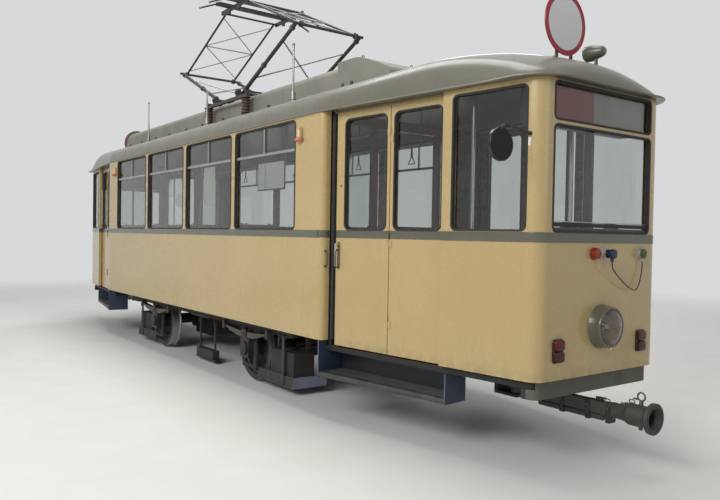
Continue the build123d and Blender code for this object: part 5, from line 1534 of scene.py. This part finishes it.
    def mirrors(self) -> None:
        """Round mirror with a flat dark back, a thin rim and its arm to the corner pillar."""
        x, y, z = self.mirror
        foot_y = self.mirror_foot_y
        form = Form(Look.MIRROR_BACK, Look.MIRROR, Look.BLACK_GLOSS, Look.OPAL, places=BOTH_ENDS)
        disc = at(x, y, z) @ ALONG_X
        back = [(0, 0.0125), (0.060, 0.0120), (0.1085, 0.0100), (0.1085, -0.010), (0, -0.010)]
        rim = [(0.1080, 0.0110), (0.1100, 0.0135), (0.1145, 0.0135), (0.1170, 0.010), (0.1170, -0.010),
               (0.1145, -0.0135), (0.1080, -0.012)]
        face = [(0, -0.0106), (0.100, -0.0108), (0.1082, -0.0105), (0, -0.0098)]
        form.add(spun(back, 56), disc)
        form.add(spun(rim, 56, close=True), disc, 2)
        form.add(spun(face, 44), disc, 1)
        arm = [(x + 0.020, foot_y, z + 0.100), (x + 0.014, y + 0.130, z + 0.128),
               (x + 0.008, y + 0.030, z + 0.140), (x + 0.004, y, z + 0.112)]
        form.add(bent(arm, 0.030, 0.0080, 12), HERE, 2)
        foot = at(x + 0.020, foot_y, z + 0.100) @ FACE_IN @ at(0, 0, -0.006)
        form.add(rod(0.016, 0.022, 18, round_by=0.003), foot, 2)
        form.add(block((0.024, 0.012, 0.062), 0.004), at(x + 0.016, foot_y, z + 0.042), 3)
        form.add(block((0.020, 0.024, 0.030), 0.004), at(x + 0.002, y, z + 0.114), 2)
        form.finish("mirror_shells", CARBODY, "mirror_black", ["mirrors"])

    def signals(self) -> None:
        """Turn signals with a narrow cream body over a wide lens, turned about an upright axis."""
        form = Form(Look.TRIM_CREAM, Look.AMBER, places=every(CORNERS, at(*self.signal)))
        cap = [(0, 0.070), (0.013, 0.069), (0.0245, 0.050), (0.0280, 0.042), (0.0300, -0.020),
               (0.0315, -0.026), (0, -0.026)]
        lens = [(0, -0.0255), (0.0300, -0.0255), (0.0470, -0.0435), (0.0500, -0.048), (0.0500, -0.057),
                (0.0430, -0.067), (0.0380, -0.070), (0, -0.070)]
        form.add(spun(cap, 32))
        form.add(spun(lens, 32), HERE, 1)
        form.finish("signal_hoods", CARBODY, "cream_paint", ["turn_signals"])

    def build(self, nodes: Nodes) -> None:
        """Make the fittings of both ends."""
        dress(nodes, {"plug": Look.BLUE_CAP})
        self.headlamp()
        self.tail_lamps()
        self.socket_caps()
        self.mirrors()
        self.signals()


@dataclass
class StepWells:
    """Step boxes with ribbed treads, corner bolts and hangers under the tread."""

    tread_z: float = 0.420
    thick: float = 0.050
    x0: float = -1.418
    x1: float = 0.070
    y0: float = -0.171
    front_y: float = 0.088
    ribs: int = 13

    def build(self, nodes: Nodes) -> None:
        """Dress the steps and add ribs, bolts and hangers."""
        dress(nodes, {"step_boxes": Look.STEP})
        middle, long = (self.x0 + self.x1) / 2, self.x1 - self.x0
        form = Form(Look.TREAD, Look.DARK_GREY, Look.STEEL, places=every(CORNERS, doorway(1, 1)))
        rib_ys = [self.y0 + 0.032 + index * 0.0150 for index in range(self.ribs)]
        for y in rib_ys:
            form.add(block((long - 0.07, 0.006, 0.004), 0.0015), at(middle, y, self.tread_z + 0.001))
        for x, way in ((self.x0 - 0.001, -1), (self.x1 + 0.001, 1)):
            for z in (self.tread_z + 0.03, self.tread_z + 0.15):
                for y in (self.y0 + 0.05, self.front_y - 0.05):
                    form.add(bolt(0.020, 0.007), at(x, y, z) @ turned(90 * way, "Y"), 2)
        low = self.tread_z - self.thick
        for x in (self.x0 + 0.18, middle, self.x1 - 0.18):
            form.add(block((0.040, 0.210, 0.008), 0.002), at(x, -0.050, low - 0.004), 1)
        form.finish("step_treads", CARBODY, "step_blue")


@dataclass
class RunningGear:
    """Truck, wheels, brakes and guards with bolts, lids, rods, pipes and gussets."""

    axle_x: float = 1.450
    axle_z: float = 0.380
    box_y: float = 0.9475
    beam: Flat = (0.8575, 0.9175)
    beam_z: Flat = (0.620, 0.700)
    spring_y: float = 0.9168
    spring_half: float = 0.560
    plank_x: Flat = (1.632, 2.390)
    plank_y: float = 0.8635
    plank_z: Flat = (0.060, 0.175)
    shoe_y: float = 0.712
    shoe_r: Flat = (0.388, 0.428)
    hanger_x: float = 1.893
    cross_half: float = 0.720
    pull_rod: Point = (-0.280, 0.300, 0.340)
    track_spring: Point = (0.230, 0.7455, 0.480)
    guard_straps: Flat = (1.900, 2.320)
    sand_lid: Point = (2.100, 0.700, 0.425)
    sand_pipe: Sequence[Point] = ((1.885, 0.735, 0.250), (1.862, 0.735, 0.235), (1.845, 0.735, 0.060),
                                  (1.838, 0.735, 0.030))
    pipe_z: float = 0.716
    pipe_half: float = 2.900
    conduits: Sequence[Flat] = ((0.20, 0.020), (0.25, 0.014), (-0.22, 0.024))
    trunks: Flat = (-0.900, 0.420)

    def wheels(self) -> None:
        """Dark discs as painted shade of the holes, with the bolts and balance ribs of the wheels' discs."""
        rib = [(0.288, 0.7645), (0.320, 0.7760), (0.322, 0.7800), (0.312, 0.7815), (0.286, 0.7700)]
        for end, name in zip(ENDS, END_NAMES):
            hub = at(end * self.axle_x, 0, self.axle_z)
            form = Form(Look.HOLE_SHADE, Look.STEEL, places=[hub @ side for side in BOTH_SIDES])
            for index in range(8):
                hole = turned(index * 45, "Y") @ at(0.205, 0.7655, 0)
                # A thin near-black disc stands in for each hole: painted shade where the hole would be.
                form.add(rod(0.030, 0.004, 24), hole @ FACE_OUT)
                nut = turned(index * 45 + 22.5, "Y") @ at(0.078, 0.8115, 0)
                form.add(bolt(0.028, 0.012), nut @ FACE_OUT, 1)
            form.add(spun(rib, 64, close=True), FACE_OUT, 1)
            form.finish(f"wheel_details_{name}", f"wheelset_{name}", "steel")

    def boxes(self) -> None:
        """Lids, bolts and spring buckles of the axle boxes."""
        y, spring_y = self.box_y, self.spring_y
        form = Form(Look.IRON, Look.STEEL, places=every(CORNERS, at(self.axle_x, 0, self.axle_z)))
        lid = at(0, y + 0.021, 0) @ FACE_OUT
        cover = [(0, 0.010), (0.040, 0.009), (0.052, 0.003), (0.074, 0.002), (0.078, -0.001), (0, -0.001)]
        form.add(spun(cover, 36), lid)
        form.add(bolt(0.018, 0.008), [lid @ turned(a * 60, "Z") @ at(0.064, 0, 0.002) for a in range(6)], 1)
        form.add(block((0.176, 0.006, 0.014), 0.003), at(0, y + 0.002, -0.094), 1)
        buckle = [(-0.050, 0), (0.050, 0), (0.062, 0.045), (0.050, 0.100), (-0.050, 0.100), (-0.062, 0.045)]
        face = at(0, spring_y + 0.034, 0.115) @ FACE_IN @ at(0, 0, -0.010)
        form.add(plate(rounded(buckle, 0.010, 4), 0.010, 0.002), face)
        form.add(bolt(0.020, 0.010), [at(x, spring_y + 0.043, 0.165) @ FACE_OUT for x in (-0.030, 0.030)], 1)
        for way in (-1, 1):
            x = way * (self.spring_half - 0.025)
            pins = [at(x, spring_y - 0.042, z) @ FACE_OUT for z in (0.222, 0.252)]
            form.add(rod(0.011, 0.084, 14), pins, 1)
            form.add(block((0.060, 0.010, 0.100), 0.010), at(x, spring_y + 0.040, 0.215))
            form.add(block((0.052, 0.076, 0.012), 0.003), at(way * 0.315, spring_y, 0.162), 1)
        form.finish("axle_box_details", CARBODY, "cast_iron")

    def frame_bolts(self) -> None:
        """Bolt rows, gussets and flange strips of the truck's side beams."""
        form = Form(Look.FRAME, Look.STEEL, places=BOTH_SIDES)
        inner, outer = self.beam
        low, high = self.beam_z
        for z in (low + 0.005, high - 0.005):
            form.add(block((4.950, 0.014, 0.010), 0.003), at(0, outer + 0.006, z))
        spots = [at(-2.40 + index * 0.20, outer, (low + high) / 2) @ FACE_OUT for index in range(25)]
        form.add(rod(0.012, 0.007, 12, tip=0.007), spots, 1)
        gusset = [(0, 0), (0.110, 0), (0, -0.130)]
        for way in (-1, 1):
            for edge in (-1, 1):
                x = way * self.axle_x + edge * 0.170
                spot = at(x, inner + 0.024, low) @ flipped(1, edge) @ FACE_IN
                form.add(plate(gusset, 0.012), spot)
                for z in (0.22, 0.30, 0.38, 0.46):
                    form.add(bolt(0.022, 0.009), at(x - edge * 0.022, inner + 0.024, z) @ FACE_OUT, 1)
        form.finish("truck_bolts", CARBODY, "frame_grey")

    def brakes(self) -> None:
        """Brake shoes, hangers, pull rods and the track brakes' springs."""
        y, x = self.shoe_y, self.hanger_x
        form = Form(Look.IRON, Look.STEEL, Look.DARK_GREY, places=CORNERS)
        shoe = []
        for radius, arc in zip(self.shoe_r, (range(-26, 27, 4), range(22, -27, -4))):
            angles = [math.radians(degrees) for degrees in arc]
            shoe += [(radius * math.cos(angle), radius * math.sin(angle)) for angle in angles]
        spot = at(self.axle_x, y + 0.077, self.axle_z) @ FACE_IN @ turned(4, "Z")
        form.add(plate(shoe, 0.075, 0.004), spot)
        form.add(pipe([(x, y + 0.038, 0.40), (x + 0.012, y + 0.038, 0.622)], 0.013, 10), HERE, 1)
        form.places = BOTH_ENDS
        form.add(rod(0.017, 2 * self.cross_half, 14), at(x, -self.cross_half, 0.400) @ ACROSS, 1)
        form.places = [HERE]
        x, y, z = self.pull_rod
        form.add(rod(0.013, -2 * x, 12), [at(x, side * y, z) @ ALONG_X for side in SIDES], 1)
        form.places = BOTH_SIDES
        x, y, z = self.track_spring
        for way in (-1, 1):
            form.add(pipe(coil((way * x, y, z), 0.028, 12, 56, 0.0020), 0.0055, 8), HERE, 2)
        form.finish("brake_rigging", CARBODY, "cast_iron")

    def guards(self) -> None:
        """Straps, bolts and sand pipes at the wheel guards."""
        form = Form(Look.STEEL, Look.FRAME, Look.DARK_GREY, places=CORNERS)
        low, high = self.plank_z
        x0, x1 = self.plank_x
        for index in range(4):
            for z in (low + 0.03, high - 0.03):
                form.add(bolt(0.024, 0.008), at(x0 + 0.09 + index * 0.19, self.plank_y - 0.001, z) @ FACE_OUT)
        edge = at((x0 + x1) / 2, self.plank_y + 0.002, high + 0.001)
        form.add(block((x1 - x0 - 0.02, 0.008, 0.008), 0.002), edge)
        for x in self.guard_straps:
            form.add(block((0.012, 0.250, 0.265), 0.003), at(x, 0.704, 0.293), 1)
        form.add(rod(0.055, 0.016, 24, round_by=0.004), at(*self.sand_lid), 1)
        form.add(bent(self.sand_pipe, 0.03, 0.016, 12), HERE, 2)
        form.finish("guard_fittings", CARBODY, "frame_grey")

    def pipes(self) -> None:
        """Conduits and cable trunks below the floor."""
        form = Form(Look.FRAME, Look.DARK_GREY, Look.STEEL)
        for y, radius in self.conduits:
            form.add(rod(radius, 2 * self.pipe_half, 14), at(-self.pipe_half, y, self.pipe_z) @ ALONG_X, 1)
        for x in [-2.76 + index * 0.50 for index in range(12)]:
            clip = span((x, -0.26, self.pipe_z + 0.019), (x + 0.04, 0.29, self.pipe_z + 0.026), 0.001)
            form.add(clip, HERE, 2)
        for x in self.trunks:
            form.add(span((x, 0.62, 0.46), (x + 0.48, 0.84, 0.60), 0.010))
        form.finish("underfloor_pipes", CARBODY, "frame_grey")

    def build(self, nodes: Nodes) -> None:
        """Dress the running gear and add its details."""
        dress(nodes, {
            "underframe": Look.UNDER, "truck_frame": Look.FRAME, "springs": Look.STEEL,
            "axle_boxes": Look.IRON, "motors": Look.IRON, "wheelset": Look.WHEEL,
            "wheel_guards": Look.APRON, "sand_boxes": Look.FRAME, "track_brakes": Look.IRON,
        })
        self.wheels()
        self.boxes()
        self.frame_bolts()
        self.brakes()
        self.guards()
        self.pipes()


@dataclass
class Couplers:
    """Drawbars with bolts, collars and a loose pin on its chain."""

    head_x: float = 5.960
    height: float = 0.420
    pin_x: float = 5.850
    links: int = 9
    collars: Point = (5.180, 5.420, 5.600)

    def chain(self, form: Form) -> None:
        """Coupling pin with its ring, and the chain that holds it."""
        x, z = self.pin_x, self.height
        form.add(rod(0.0150, 0.215, 20, round_by=0.003), at(x, 0, z - 0.100), 1)
        ring = coil((0, 0, 0), 0.030, 16, 16, axis="Y")
        form.add(pipe(ring, 0.0065, 8, close=True), at(x, 0, z + 0.142), 1)
        link = [(*point, 0) for point in oblong(0.022, 0.012, 0.0115, 4)]
        for index in range(self.links):
            drop = 0.050 * math.sin(math.pi * index / (self.links - 1)) + index * 0.006
            spot = at(x - 0.040 - index * 0.034, 0.0, z + 0.120 - drop)
            form.add(pipe(link, 0.0042, 6, close=True), spot @ turned(90 * (index % 2), "X"), 1)
        form.add(block((0.060, 0.030, 0.036), 0.006), at(x - 0.345, 0, z + 0.058))

    def build(self, nodes: Nodes) -> None:
        """Dress the couplers and add their details."""
        dress(nodes, {"coupler": Look.DRAWBAR})
        for end, name in zip(BOTH_ENDS, END_NAMES):
            form = Form(Look.IRON, Look.STEEL, places=[end])
            face = at(self.head_x - 0.001, 0, self.height) @ ALONG_X
            form.add(framed(0.200, 0.200, 0.0999, 0.012, 0.004, 0.001), face)
            heads = [face @ turned(index * 45 + 22.5, "Z") @ at(0.099, 0, 0) for index in range(8)]
            form.add(bolt(0.016, 0.007), heads, 1)
            self.chain(form)
            for x in self.collars:
                form.add(block((0.040, 0.084, 0.150), 0.005), at(x, 0, self.height - 0.028))
                for side in SIDES:
                    spot = at(x, side * 0.041, self.height + 0.010) @ flipped(side, 1)
                    form.add(bolt(0.022, 0.010), spot @ FACE_OUT, 1)
            form.finish(f"coupler_details_{name}", f"coupler_{name}", "cast_iron")


@dataclass
class RoofGear:
    """Covers with joint strips and catches, posts, and the round signs with their lamps."""

    low_cover: Point = (-4.530, 2.520, 3.500)
    low_half: float = 0.420
    tall_cover: Point = (2.520, 2.900, 3.525)
    tall_half: float = 0.440
    cover_foot: float = 3.220
    catch_z: float = 3.275
    strips: int = 5
    posts: Sequence[Flat] = ((0.0, 3.560), (2.210, 3.720), (-2.210, 3.720))
    post_y: float = 0.800
    post_foot: float = 3.1315
    sign: Flat = (5.104, 3.425)
    sign_lamp: Point = (5.110, 0.280, 3.222)

    def covers(self) -> None:
        """Joint strips and catches of the low cover, catches and lifting eyes of the tall one."""
        form = Form(Look.COVER, Look.STEEL)
        x0, _, top = self.low_cover
        half, foot = self.low_half, self.cover_foot
        strip = [(-half - 0.003, foot), (-half - 0.003, top - 0.062), (-half + 0.062, top + 0.003),
                 (half - 0.062, top + 0.003), (half + 0.003, top - 0.062), (half + 0.003, foot)]
        hoop = rounded(strip, [0, 0.060, 0.060, 0.060, 0.060, 0], 5)
        for x in [x0 + 0.62 + index * 1.30 for index in range(self.strips)]:
            form.places = [HERE]
            form.add(plate(hoop, 0.030), at(x, 0, 0) @ FACE_FRONT)
            form.places = BOTH_SIDES
            for way in (-0.30, 0.30):
                catch = at(x + way, half + 0.003, self.catch_z)
                form.add(block((0.050, 0.010, 0.034), 0.003), catch, 1)
                form.add(rod(0.007, 0.050, 10), catch @ at(0.025, 0.008, 0.010) @ turned(-90, "Y"), 1)
        x0, x1, top = self.tall_cover
        for x in (x0 + 0.10, x1 - 0.12):
            form.add(block((0.050, 0.010, 0.034), 0.003), at(x, self.tall_half + 0.003, self.catch_z), 1)
        form.places = [at(x, y, top) for x in (x0 + 0.09, x1 - 0.08) for y in (-0.33, 0.33)]
        form.add(pipe(coil((0, 0, 0.014), 0.022, 16, 16, axis="Y"), 0.005, 8, close=True), HERE, 1)
        form.finish("roof_cover_details", CARBODY, "roof_grey")

    def tips(self) -> None:
        """Foot flanges and ball tips of the roof posts."""
        form = Form(Look.PANTO_TUBE)
        ball = [(0, 0.020), (0.012, 0.016), (0.018, 0.004), (0.014, -0.010), (0, -0.014)]
        for x, tip in self.posts:
            form.places = [at(x, side * self.post_y, 0) for side in SIDES]
            form.add(rod(0.040, 0.012, 24, round_by=0.003), at(0, 0, self.post_foot))
            form.add(spun(ball, 16), at(0, 0, tip))
        form.finish("post_tips", CARBODY, "roof_grey")

    def signs(self) -> None:
        """Rolled rims of the signs, and their shaded lamps."""
        x, z = self.sign
        form = Form(Look.RING_RED, Look.LAMP_RIM, Look.OPAL, places=BOTH_ENDS)
        rim = [(0.243, -0.005), (0.252, -0.006), (0.2555, 0), (0.252, 0.006), (0.245, 0.0055)]
        form.add(spun(rim, 72, close=True), at(x, 0, z) @ ALONG_X)
        shade = [(0, 0.171), (0.024, 0.170), (0.034, 0.163), (0.0425, 0.150), (0.056, 0.088),
                 (0.0645, 0.050), (0.0655, 0.004), (0.0635, -0.001), (0.0600, 0.004), (0.0580, 0.030),
                 (0, 0.034)]
        glass = [(0, 0.006), (0.026, 0.010), (0.044, 0.022), (0.050, 0.032), (0, 0.036)]
        lamp = at(*self.sign_lamp) @ ALONG_X
        form.add(spun(shade, 36), lamp, 1)
        form.add(spun(glass, 28), lamp, 2)
        form.finish("sign_rims", CARBODY, "sign_white")

    def build(self, nodes: Nodes) -> None:
        """Dress the roof's equipment and add its details."""
        dress(nodes, {"roof_covers": Look.COVER, "roof_posts": Look.PANTO_TUBE, "roof_signs": Look.SIGN})
        self.covers()
        self.tips()
        self.signs()


@dataclass
class Pantograph:
    """Braces, springs, insulators and contact strips of the pantograph."""

    base_x: float = 0.348
    base_z: float = 3.530
    base_y: float = 0.520
    foot_x: float = 0.560
    knee: Flat = (1.680, 4.140)
    head_z: float = 4.750
    lower_y: float = 0.460
    upper_y: Flat = (0.393, 0.380)
    strip_x: float = 0.150
    strip_half: float = 0.585
    horn_y: float = 0.850
    insulator_z: float = 3.370
    springs_y: Flat = (0.300, 0.240)
    spring_half: float = 0.580
    tie_y: float = 0.386
    disc_y: float = 0.372
    clips_y: Sequence[float] = (-0.575, -0.290, 0, 0.290, 0.575)
    head_spring_y: float = 0.425

    def base(self) -> None:
        """Ribbed insulators, bearings' bolts and the main springs."""
        form = Form(Look.CERAMIC, Look.STEEL, Look.PANTO, Look.DARK_GREY)
        ribs = [(0.040, -0.140)]
        for z in [-0.135 + index * 0.040 for index in range(5)]:
            ribs += [(0.048, z), (0.062, z + 0.010), (0.060, z + 0.018), (0.046, z + 0.026)]
        ribs.append((0.040, 0.068))
        feet = [(way * self.foot_x, side * self.base_y) for way in (-1, 1) for side in SIDES]
        spots = [at(x, y, self.insulator_z) for x, y in feet]
        form.add(spun(ribs, 32, close=True), spots)
        form.add(rod(0.066, 0.012, 28, round_by=0.003), every(spots, at(0, 0, 0.066)), 1)
        for way in (-1, 1):
            for side in SIDES:
                end = at(way * self.base_x, side * (self.base_y + 0.026), self.base_z)
                face = end @ flipped(side, 1) @ FACE_OUT
                form.add(rod(0.034, 0.006, 24, round_by=0.002), face @ at(0, 0, -0.001), 2)
                for x, y in ((0.022, 0.028), (-0.022, 0.028), (0.022, -0.04), (-0.022, -0.04)):
                    form.add(bolt(0.012, 0.006), face @ at(x, y, 0), 1)
        z = self.base_z - 0.036
        for side in SIDES:
            for y in [side * offset for offset in self.springs_y]:
                form.add(pipe(coil((-0.24, y, z), 0.022, 9, 97, 0.0050, "X"), 0.0045, 6), HERE, 3)
                form.add(rod(0.006, 2 * self.spring_half, 8), at(-self.spring_half, y, z) @ ALONG_X, 1)
        form.finish("pantograph_base_details", CARBODY, "panto_brown")

    def lower_arm(self, name: str, place: Matrix) -> None:
        """Sleeves, collars and cross braces of one lower frame.

        Args:
            name: The end it leans to.
            place: Turn from the front frame to this one.
        """
        bx, bz = self.base_x, self.base_z
        kx, kz = self.knee
        form = Form(Look.PANTO_TUBE, Look.STEEL, Look.PANTO, places=[place])
        for y in (self.lower_y, -self.lower_y):
            start, stop = Vector((bx, y, bz)), Vector((kx, y, kz))
            long = (stop - start).length
            form.add(rod(0.027, long * 0.35, 20, tip=0.026), aimed(start.lerp(stop, 0.07), stop), 2)
            collars = [aimed(start.lerp(stop, share), stop) for share in (0.07, 0.42, 0.93)]
            form.add(rod(0.036, 0.030, 20, round_by=0.004), collars, 1)
        for y in (-self.lower_y, self.lower_y):
            brace = [(bx + 0.32, y, bz + 0.1465), (kx - 0.30, -y, kz - 0.1374)]
            form.add(pipe(brace, 0.011, 10))
        form.finish(f"lower_arm_braces_{name}", f"pantograph_lower_{name}", "panto_brown")

    def upper_arm(self, name: str, place: Matrix) -> None:
        """Thin cross braces and knee discs of one upper frame.

        Args:
            name: The end its knee is at.
            place: Turn from the front frame to this one.
        """
        kx, kz = self.knee
        low, high = Vector((kx, self.upper_y[0], kz)), Vector((self.base_x, self.upper_y[1], self.head_z))
        form = Form(Look.PANTO_TUBE, Look.STEEL, places=[place])
        for share, other in ((0.06, 0.50), (0.50, 0.94)):
            for way in (1, -1):
                start, stop = low.lerp(high, share), low.lerp(high, other)
                brace = [(start.x, way * start.y, start.z), (stop.x, -way * stop.y, stop.z)]
                form.add(pipe(brace, 0.0075, 8))
        middle = (low + high) / 2
        form.add(pipe([(middle.x, side * self.tie_y, middle.z) for side in SIDES], 0.009, 10))
        for side in SIDES:
            knee = at(kx, side * self.disc_y, kz) @ flipped(side, 1) @ FACE_OUT
            form.add(rod(0.040, 0.012, 24, round_by=0.003), knee, 1)
        form.finish(f"upper_arm_braces_{name}", f"pantograph_upper_{name}", "panto_brown")

    def head(self) -> None:
        """Carbon strips, their clips, springs and horn tips."""
        form = Form(Look.CARBON, Look.STEEL, Look.PANTO_TUBE)
        top, low, half = self.head_z + 0.060, self.head_z - 0.060, self.strip_half
        knob = [(0, 0.016), (0.012, 0.012), (0.0165, 0), (0.012, -0.012), (0, -0.016)]
        for x in (-self.strip_x, self.strip_x):
            form.add(span((x - 0.024, -half, top - 0.001), (x + 0.024, half, top + 0.014), 0.005))
            for y in self.clips_y:
                clip = span((x - 0.028, y - 0.016, top - 0.012), (x + 0.028, y + 0.016, top + 0.006), 0.002)
                form.add(clip, HERE, 1)
            for side in SIDES:
                form.add(spun(knob, 16), at(x, side * self.horn_y, low), 2)
                spring = coil((x, side * self.head_spring_y, low), 0.020, 10, 40, 0.0009)
                form.add(pipe(spring, 0.0040, 6), HERE, 1)
        form.finish("contact_strips", "pantograph_head", "panto_brown")

    def build(self, nodes: Nodes) -> None:
        """Dress the pantograph and add its details."""
        dress(nodes, {"pantograph": Look.PANTO})
        self.base()
        for place, name in zip(BOTH_ENDS, END_NAMES):
            self.lower_arm(name, place)
            self.upper_arm(name, place)
        self.head()


@dataclass
class JumperCable:
    """Cable that hangs from the plug to the socket with the green cap."""

    radius: float = 0.0045
    length: float = 0.7255
    route_mm: Sequence[Point] = (
        (5575, 10, 1530), (5575, 10, 1492), (5570, 52, 1452), (5562, 140, 1396), (5554, 235, 1345),
        (5547, 320, 1308), (5541, 380, 1300), (5536, 428, 1330), (5531, 462, 1390), (5527, 484, 1446),
        (5526, 490, 1488), (5526, 490, 1528),
    )

    def build(self) -> None:
        points = [(x / 1000, y / 1000, z / 1000 + RAIL) for x, y, z in self.route_mm]
        curve = bpy.data.curves.new("jumper_cable_curve", "CURVE")
        curve.dimensions = "3D"
        curve.bevel_depth = self.radius
        curve.bevel_resolution = 5
        curve.resolution_u = 8
        curve.use_fill_caps = True
        line = curve.splines.new("NURBS")
        line.points.add(len(points) - 1)
        for spot, point in zip(line.points, points):
            spot.co = (*point, 1.0)
        line.order_u = 3
        line.use_endpoint_u = True
        curve.materials.append(Look.CORD.material())
        cable = bpy.data.objects.new("jumper_cable_curve", curve)
        bpy.context.scene.collection.objects.link(cable)
        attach(cable, CARBODY)
        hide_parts("jumper_cable")
        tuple(points[0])
        log.info("jumper cable of %.3f m", self.length)


@dataclass
class Studio:
    """Camera at the photograph's place, plain floor, pale world and soft lamps."""

    eye: Point = (8.69, -4.65, 1.72)
    heading: Flat = (-0.805, 0.593)
    pitch: float = 1.22
    roll: float = 0.98
    lens: float = 34.94
    light_power: float = 0.33
    seen_power: float = 0.82
    sky: Colour = (236, 237, 238)
    floor_half: float = 40.0
    lamps: Sequence[tuple[str, Point, Point, Flat, float]] = (
        ("key", (6.0, -12.0, 8.0), (1.5, 0, 1.5), (9, 5), 1080),
        ("top", (0, 0, 11.5), (0, 0, 0), (12, 5), 680),
        ("front_fill", (14.0, 2.0, 4.5), (4.0, 0, 1.6), (5, 4), 50),
        ("back_fill", (-9.0, 11.0, 7.0), (-1.0, 0, 1.5), (8, 5), 620),
    )

    def camera(self) -> None:
        """Aim the camera by its measured angles."""
        data = bpy.data.cameras.new("camera")
        data.lens = self.lens
        data.sensor_width = 36
        data.clip_end = 200
        made = bpy.data.objects.new("camera", data)
        pitch, roll = math.radians(self.pitch), math.radians(self.roll)
        ahead = Vector((*(h * math.cos(pitch) for h in self.heading), -math.sin(pitch))).normalized()
        right = ahead.cross(Vector((0, 0, 1))).normalized()
        up = right.cross(ahead)
        tilted = right * math.cos(roll) + up * math.sin(roll)
        upward = up * math.cos(roll) - right * math.sin(roll)
        place = Matrix((tilted, upward, -ahead)).transposed().to_4x4()
        place.translation = Vector(self.eye)
        made.matrix_world = place
        bpy.context.scene.collection.objects.link(made)
        bpy.context.scene.camera = made

    def world(self) -> None:
        """Pale surroundings, darker as light on the object than where they are seen."""
        world = bpy.data.worlds.new("studio")
        world.use_nodes = True
        tree = world.node_tree
        tree.nodes.clear()
        path = tree.nodes.new("ShaderNodeLightPath")
        seen = path.outputs["Is Camera Ray"]
        for ray in ("Is Transmission Ray", "Is Glossy Ray"):
            either = tree.nodes.new("ShaderNodeMath")
            either.operation = "MAXIMUM"
            tree.links.new(seen, either.inputs[0])
            tree.links.new(path.outputs[ray], either.inputs[1])
            seen = either.outputs[0]
        power = tree.nodes.new("ShaderNodeMapRange")
        power.inputs["To Min"].default_value = self.light_power
        power.inputs["To Max"].default_value = self.seen_power
        tree.links.new(seen, power.inputs["Value"])
        back = tree.nodes.new("ShaderNodeBackground")
        back.inputs["Color"].default_value = linear(self.sky)
        tree.links.new(power.outputs[0], back.inputs["Strength"])
        out = tree.nodes.new("ShaderNodeOutputWorld")
        tree.links.new(back.outputs[0], out.inputs["Surface"])
        bpy.context.scene.world = world

    def lamp(self, name: str, place: Point, target: Point, size: Flat, watts: float) -> None:
        """Add a rectangular soft lamp aimed at a point.

        Args:
            name: The lamp's name.
            place: Where it stands.
            target: The point that it lights.
            size: Its width and height.
            watts: Its power.
        """
        data = bpy.data.lights.new(name, "AREA")
        data.shape = "RECTANGLE"
        data.size, data.size_y = size
        data.energy = watts
        made = bpy.data.objects.new(name, data)
        made.location = place
        made.rotation_euler = (Vector(target) - Vector(place)).to_track_quat("-Z", "Y").to_euler()
        made.visible_camera = False
        made.visible_transmission = False
        bpy.context.scene.collection.objects.link(made)

    def floor(self) -> None:
        """Plain pale floor at the wheels' lowest point."""
        made = bmesh.new()
        bmesh.ops.create_grid(made, x_segments=1, y_segments=1, size=self.floor_half)
        mesh = bpy.data.meshes.new("studio_floor")
        made.to_mesh(mesh)
        made.free()
        mesh.materials.append(Look.STUDIO_FLOOR.material())
        floor = bpy.data.objects.new("studio_floor", mesh)
        bpy.context.scene.collection.objects.link(floor)

    def build(self) -> None:
        """Set up camera, floor, world and lamps."""
        self.camera()
        self.world()
        self.floor()
        for name, place, target, size, watts in self.lamps:
            self.lamp(name, place, target, size, watts)
        bpy.context.scene.view_settings.view_transform = "Standard"


def main() -> None:
    """Build the tram around its frame."""
    logging.basicConfig(level=logging.INFO, format="%(name)s: %(message)s")
    nodes = frame["nodes"]
    Studio().build()
    JumperCable().build()
    Bodywork().build(nodes)
    Boards().build()
    Doors().build(nodes)
    Saloon().build(nodes)
    Cab().build()
    FrontFittings().build(nodes)
    StepWells().build(nodes)
    RunningGear().build(nodes)
    Couplers().build(nodes)
    RoofGear().build(nodes)
    Pantograph().build(nodes)


if __name__ == "__main__":
    main()
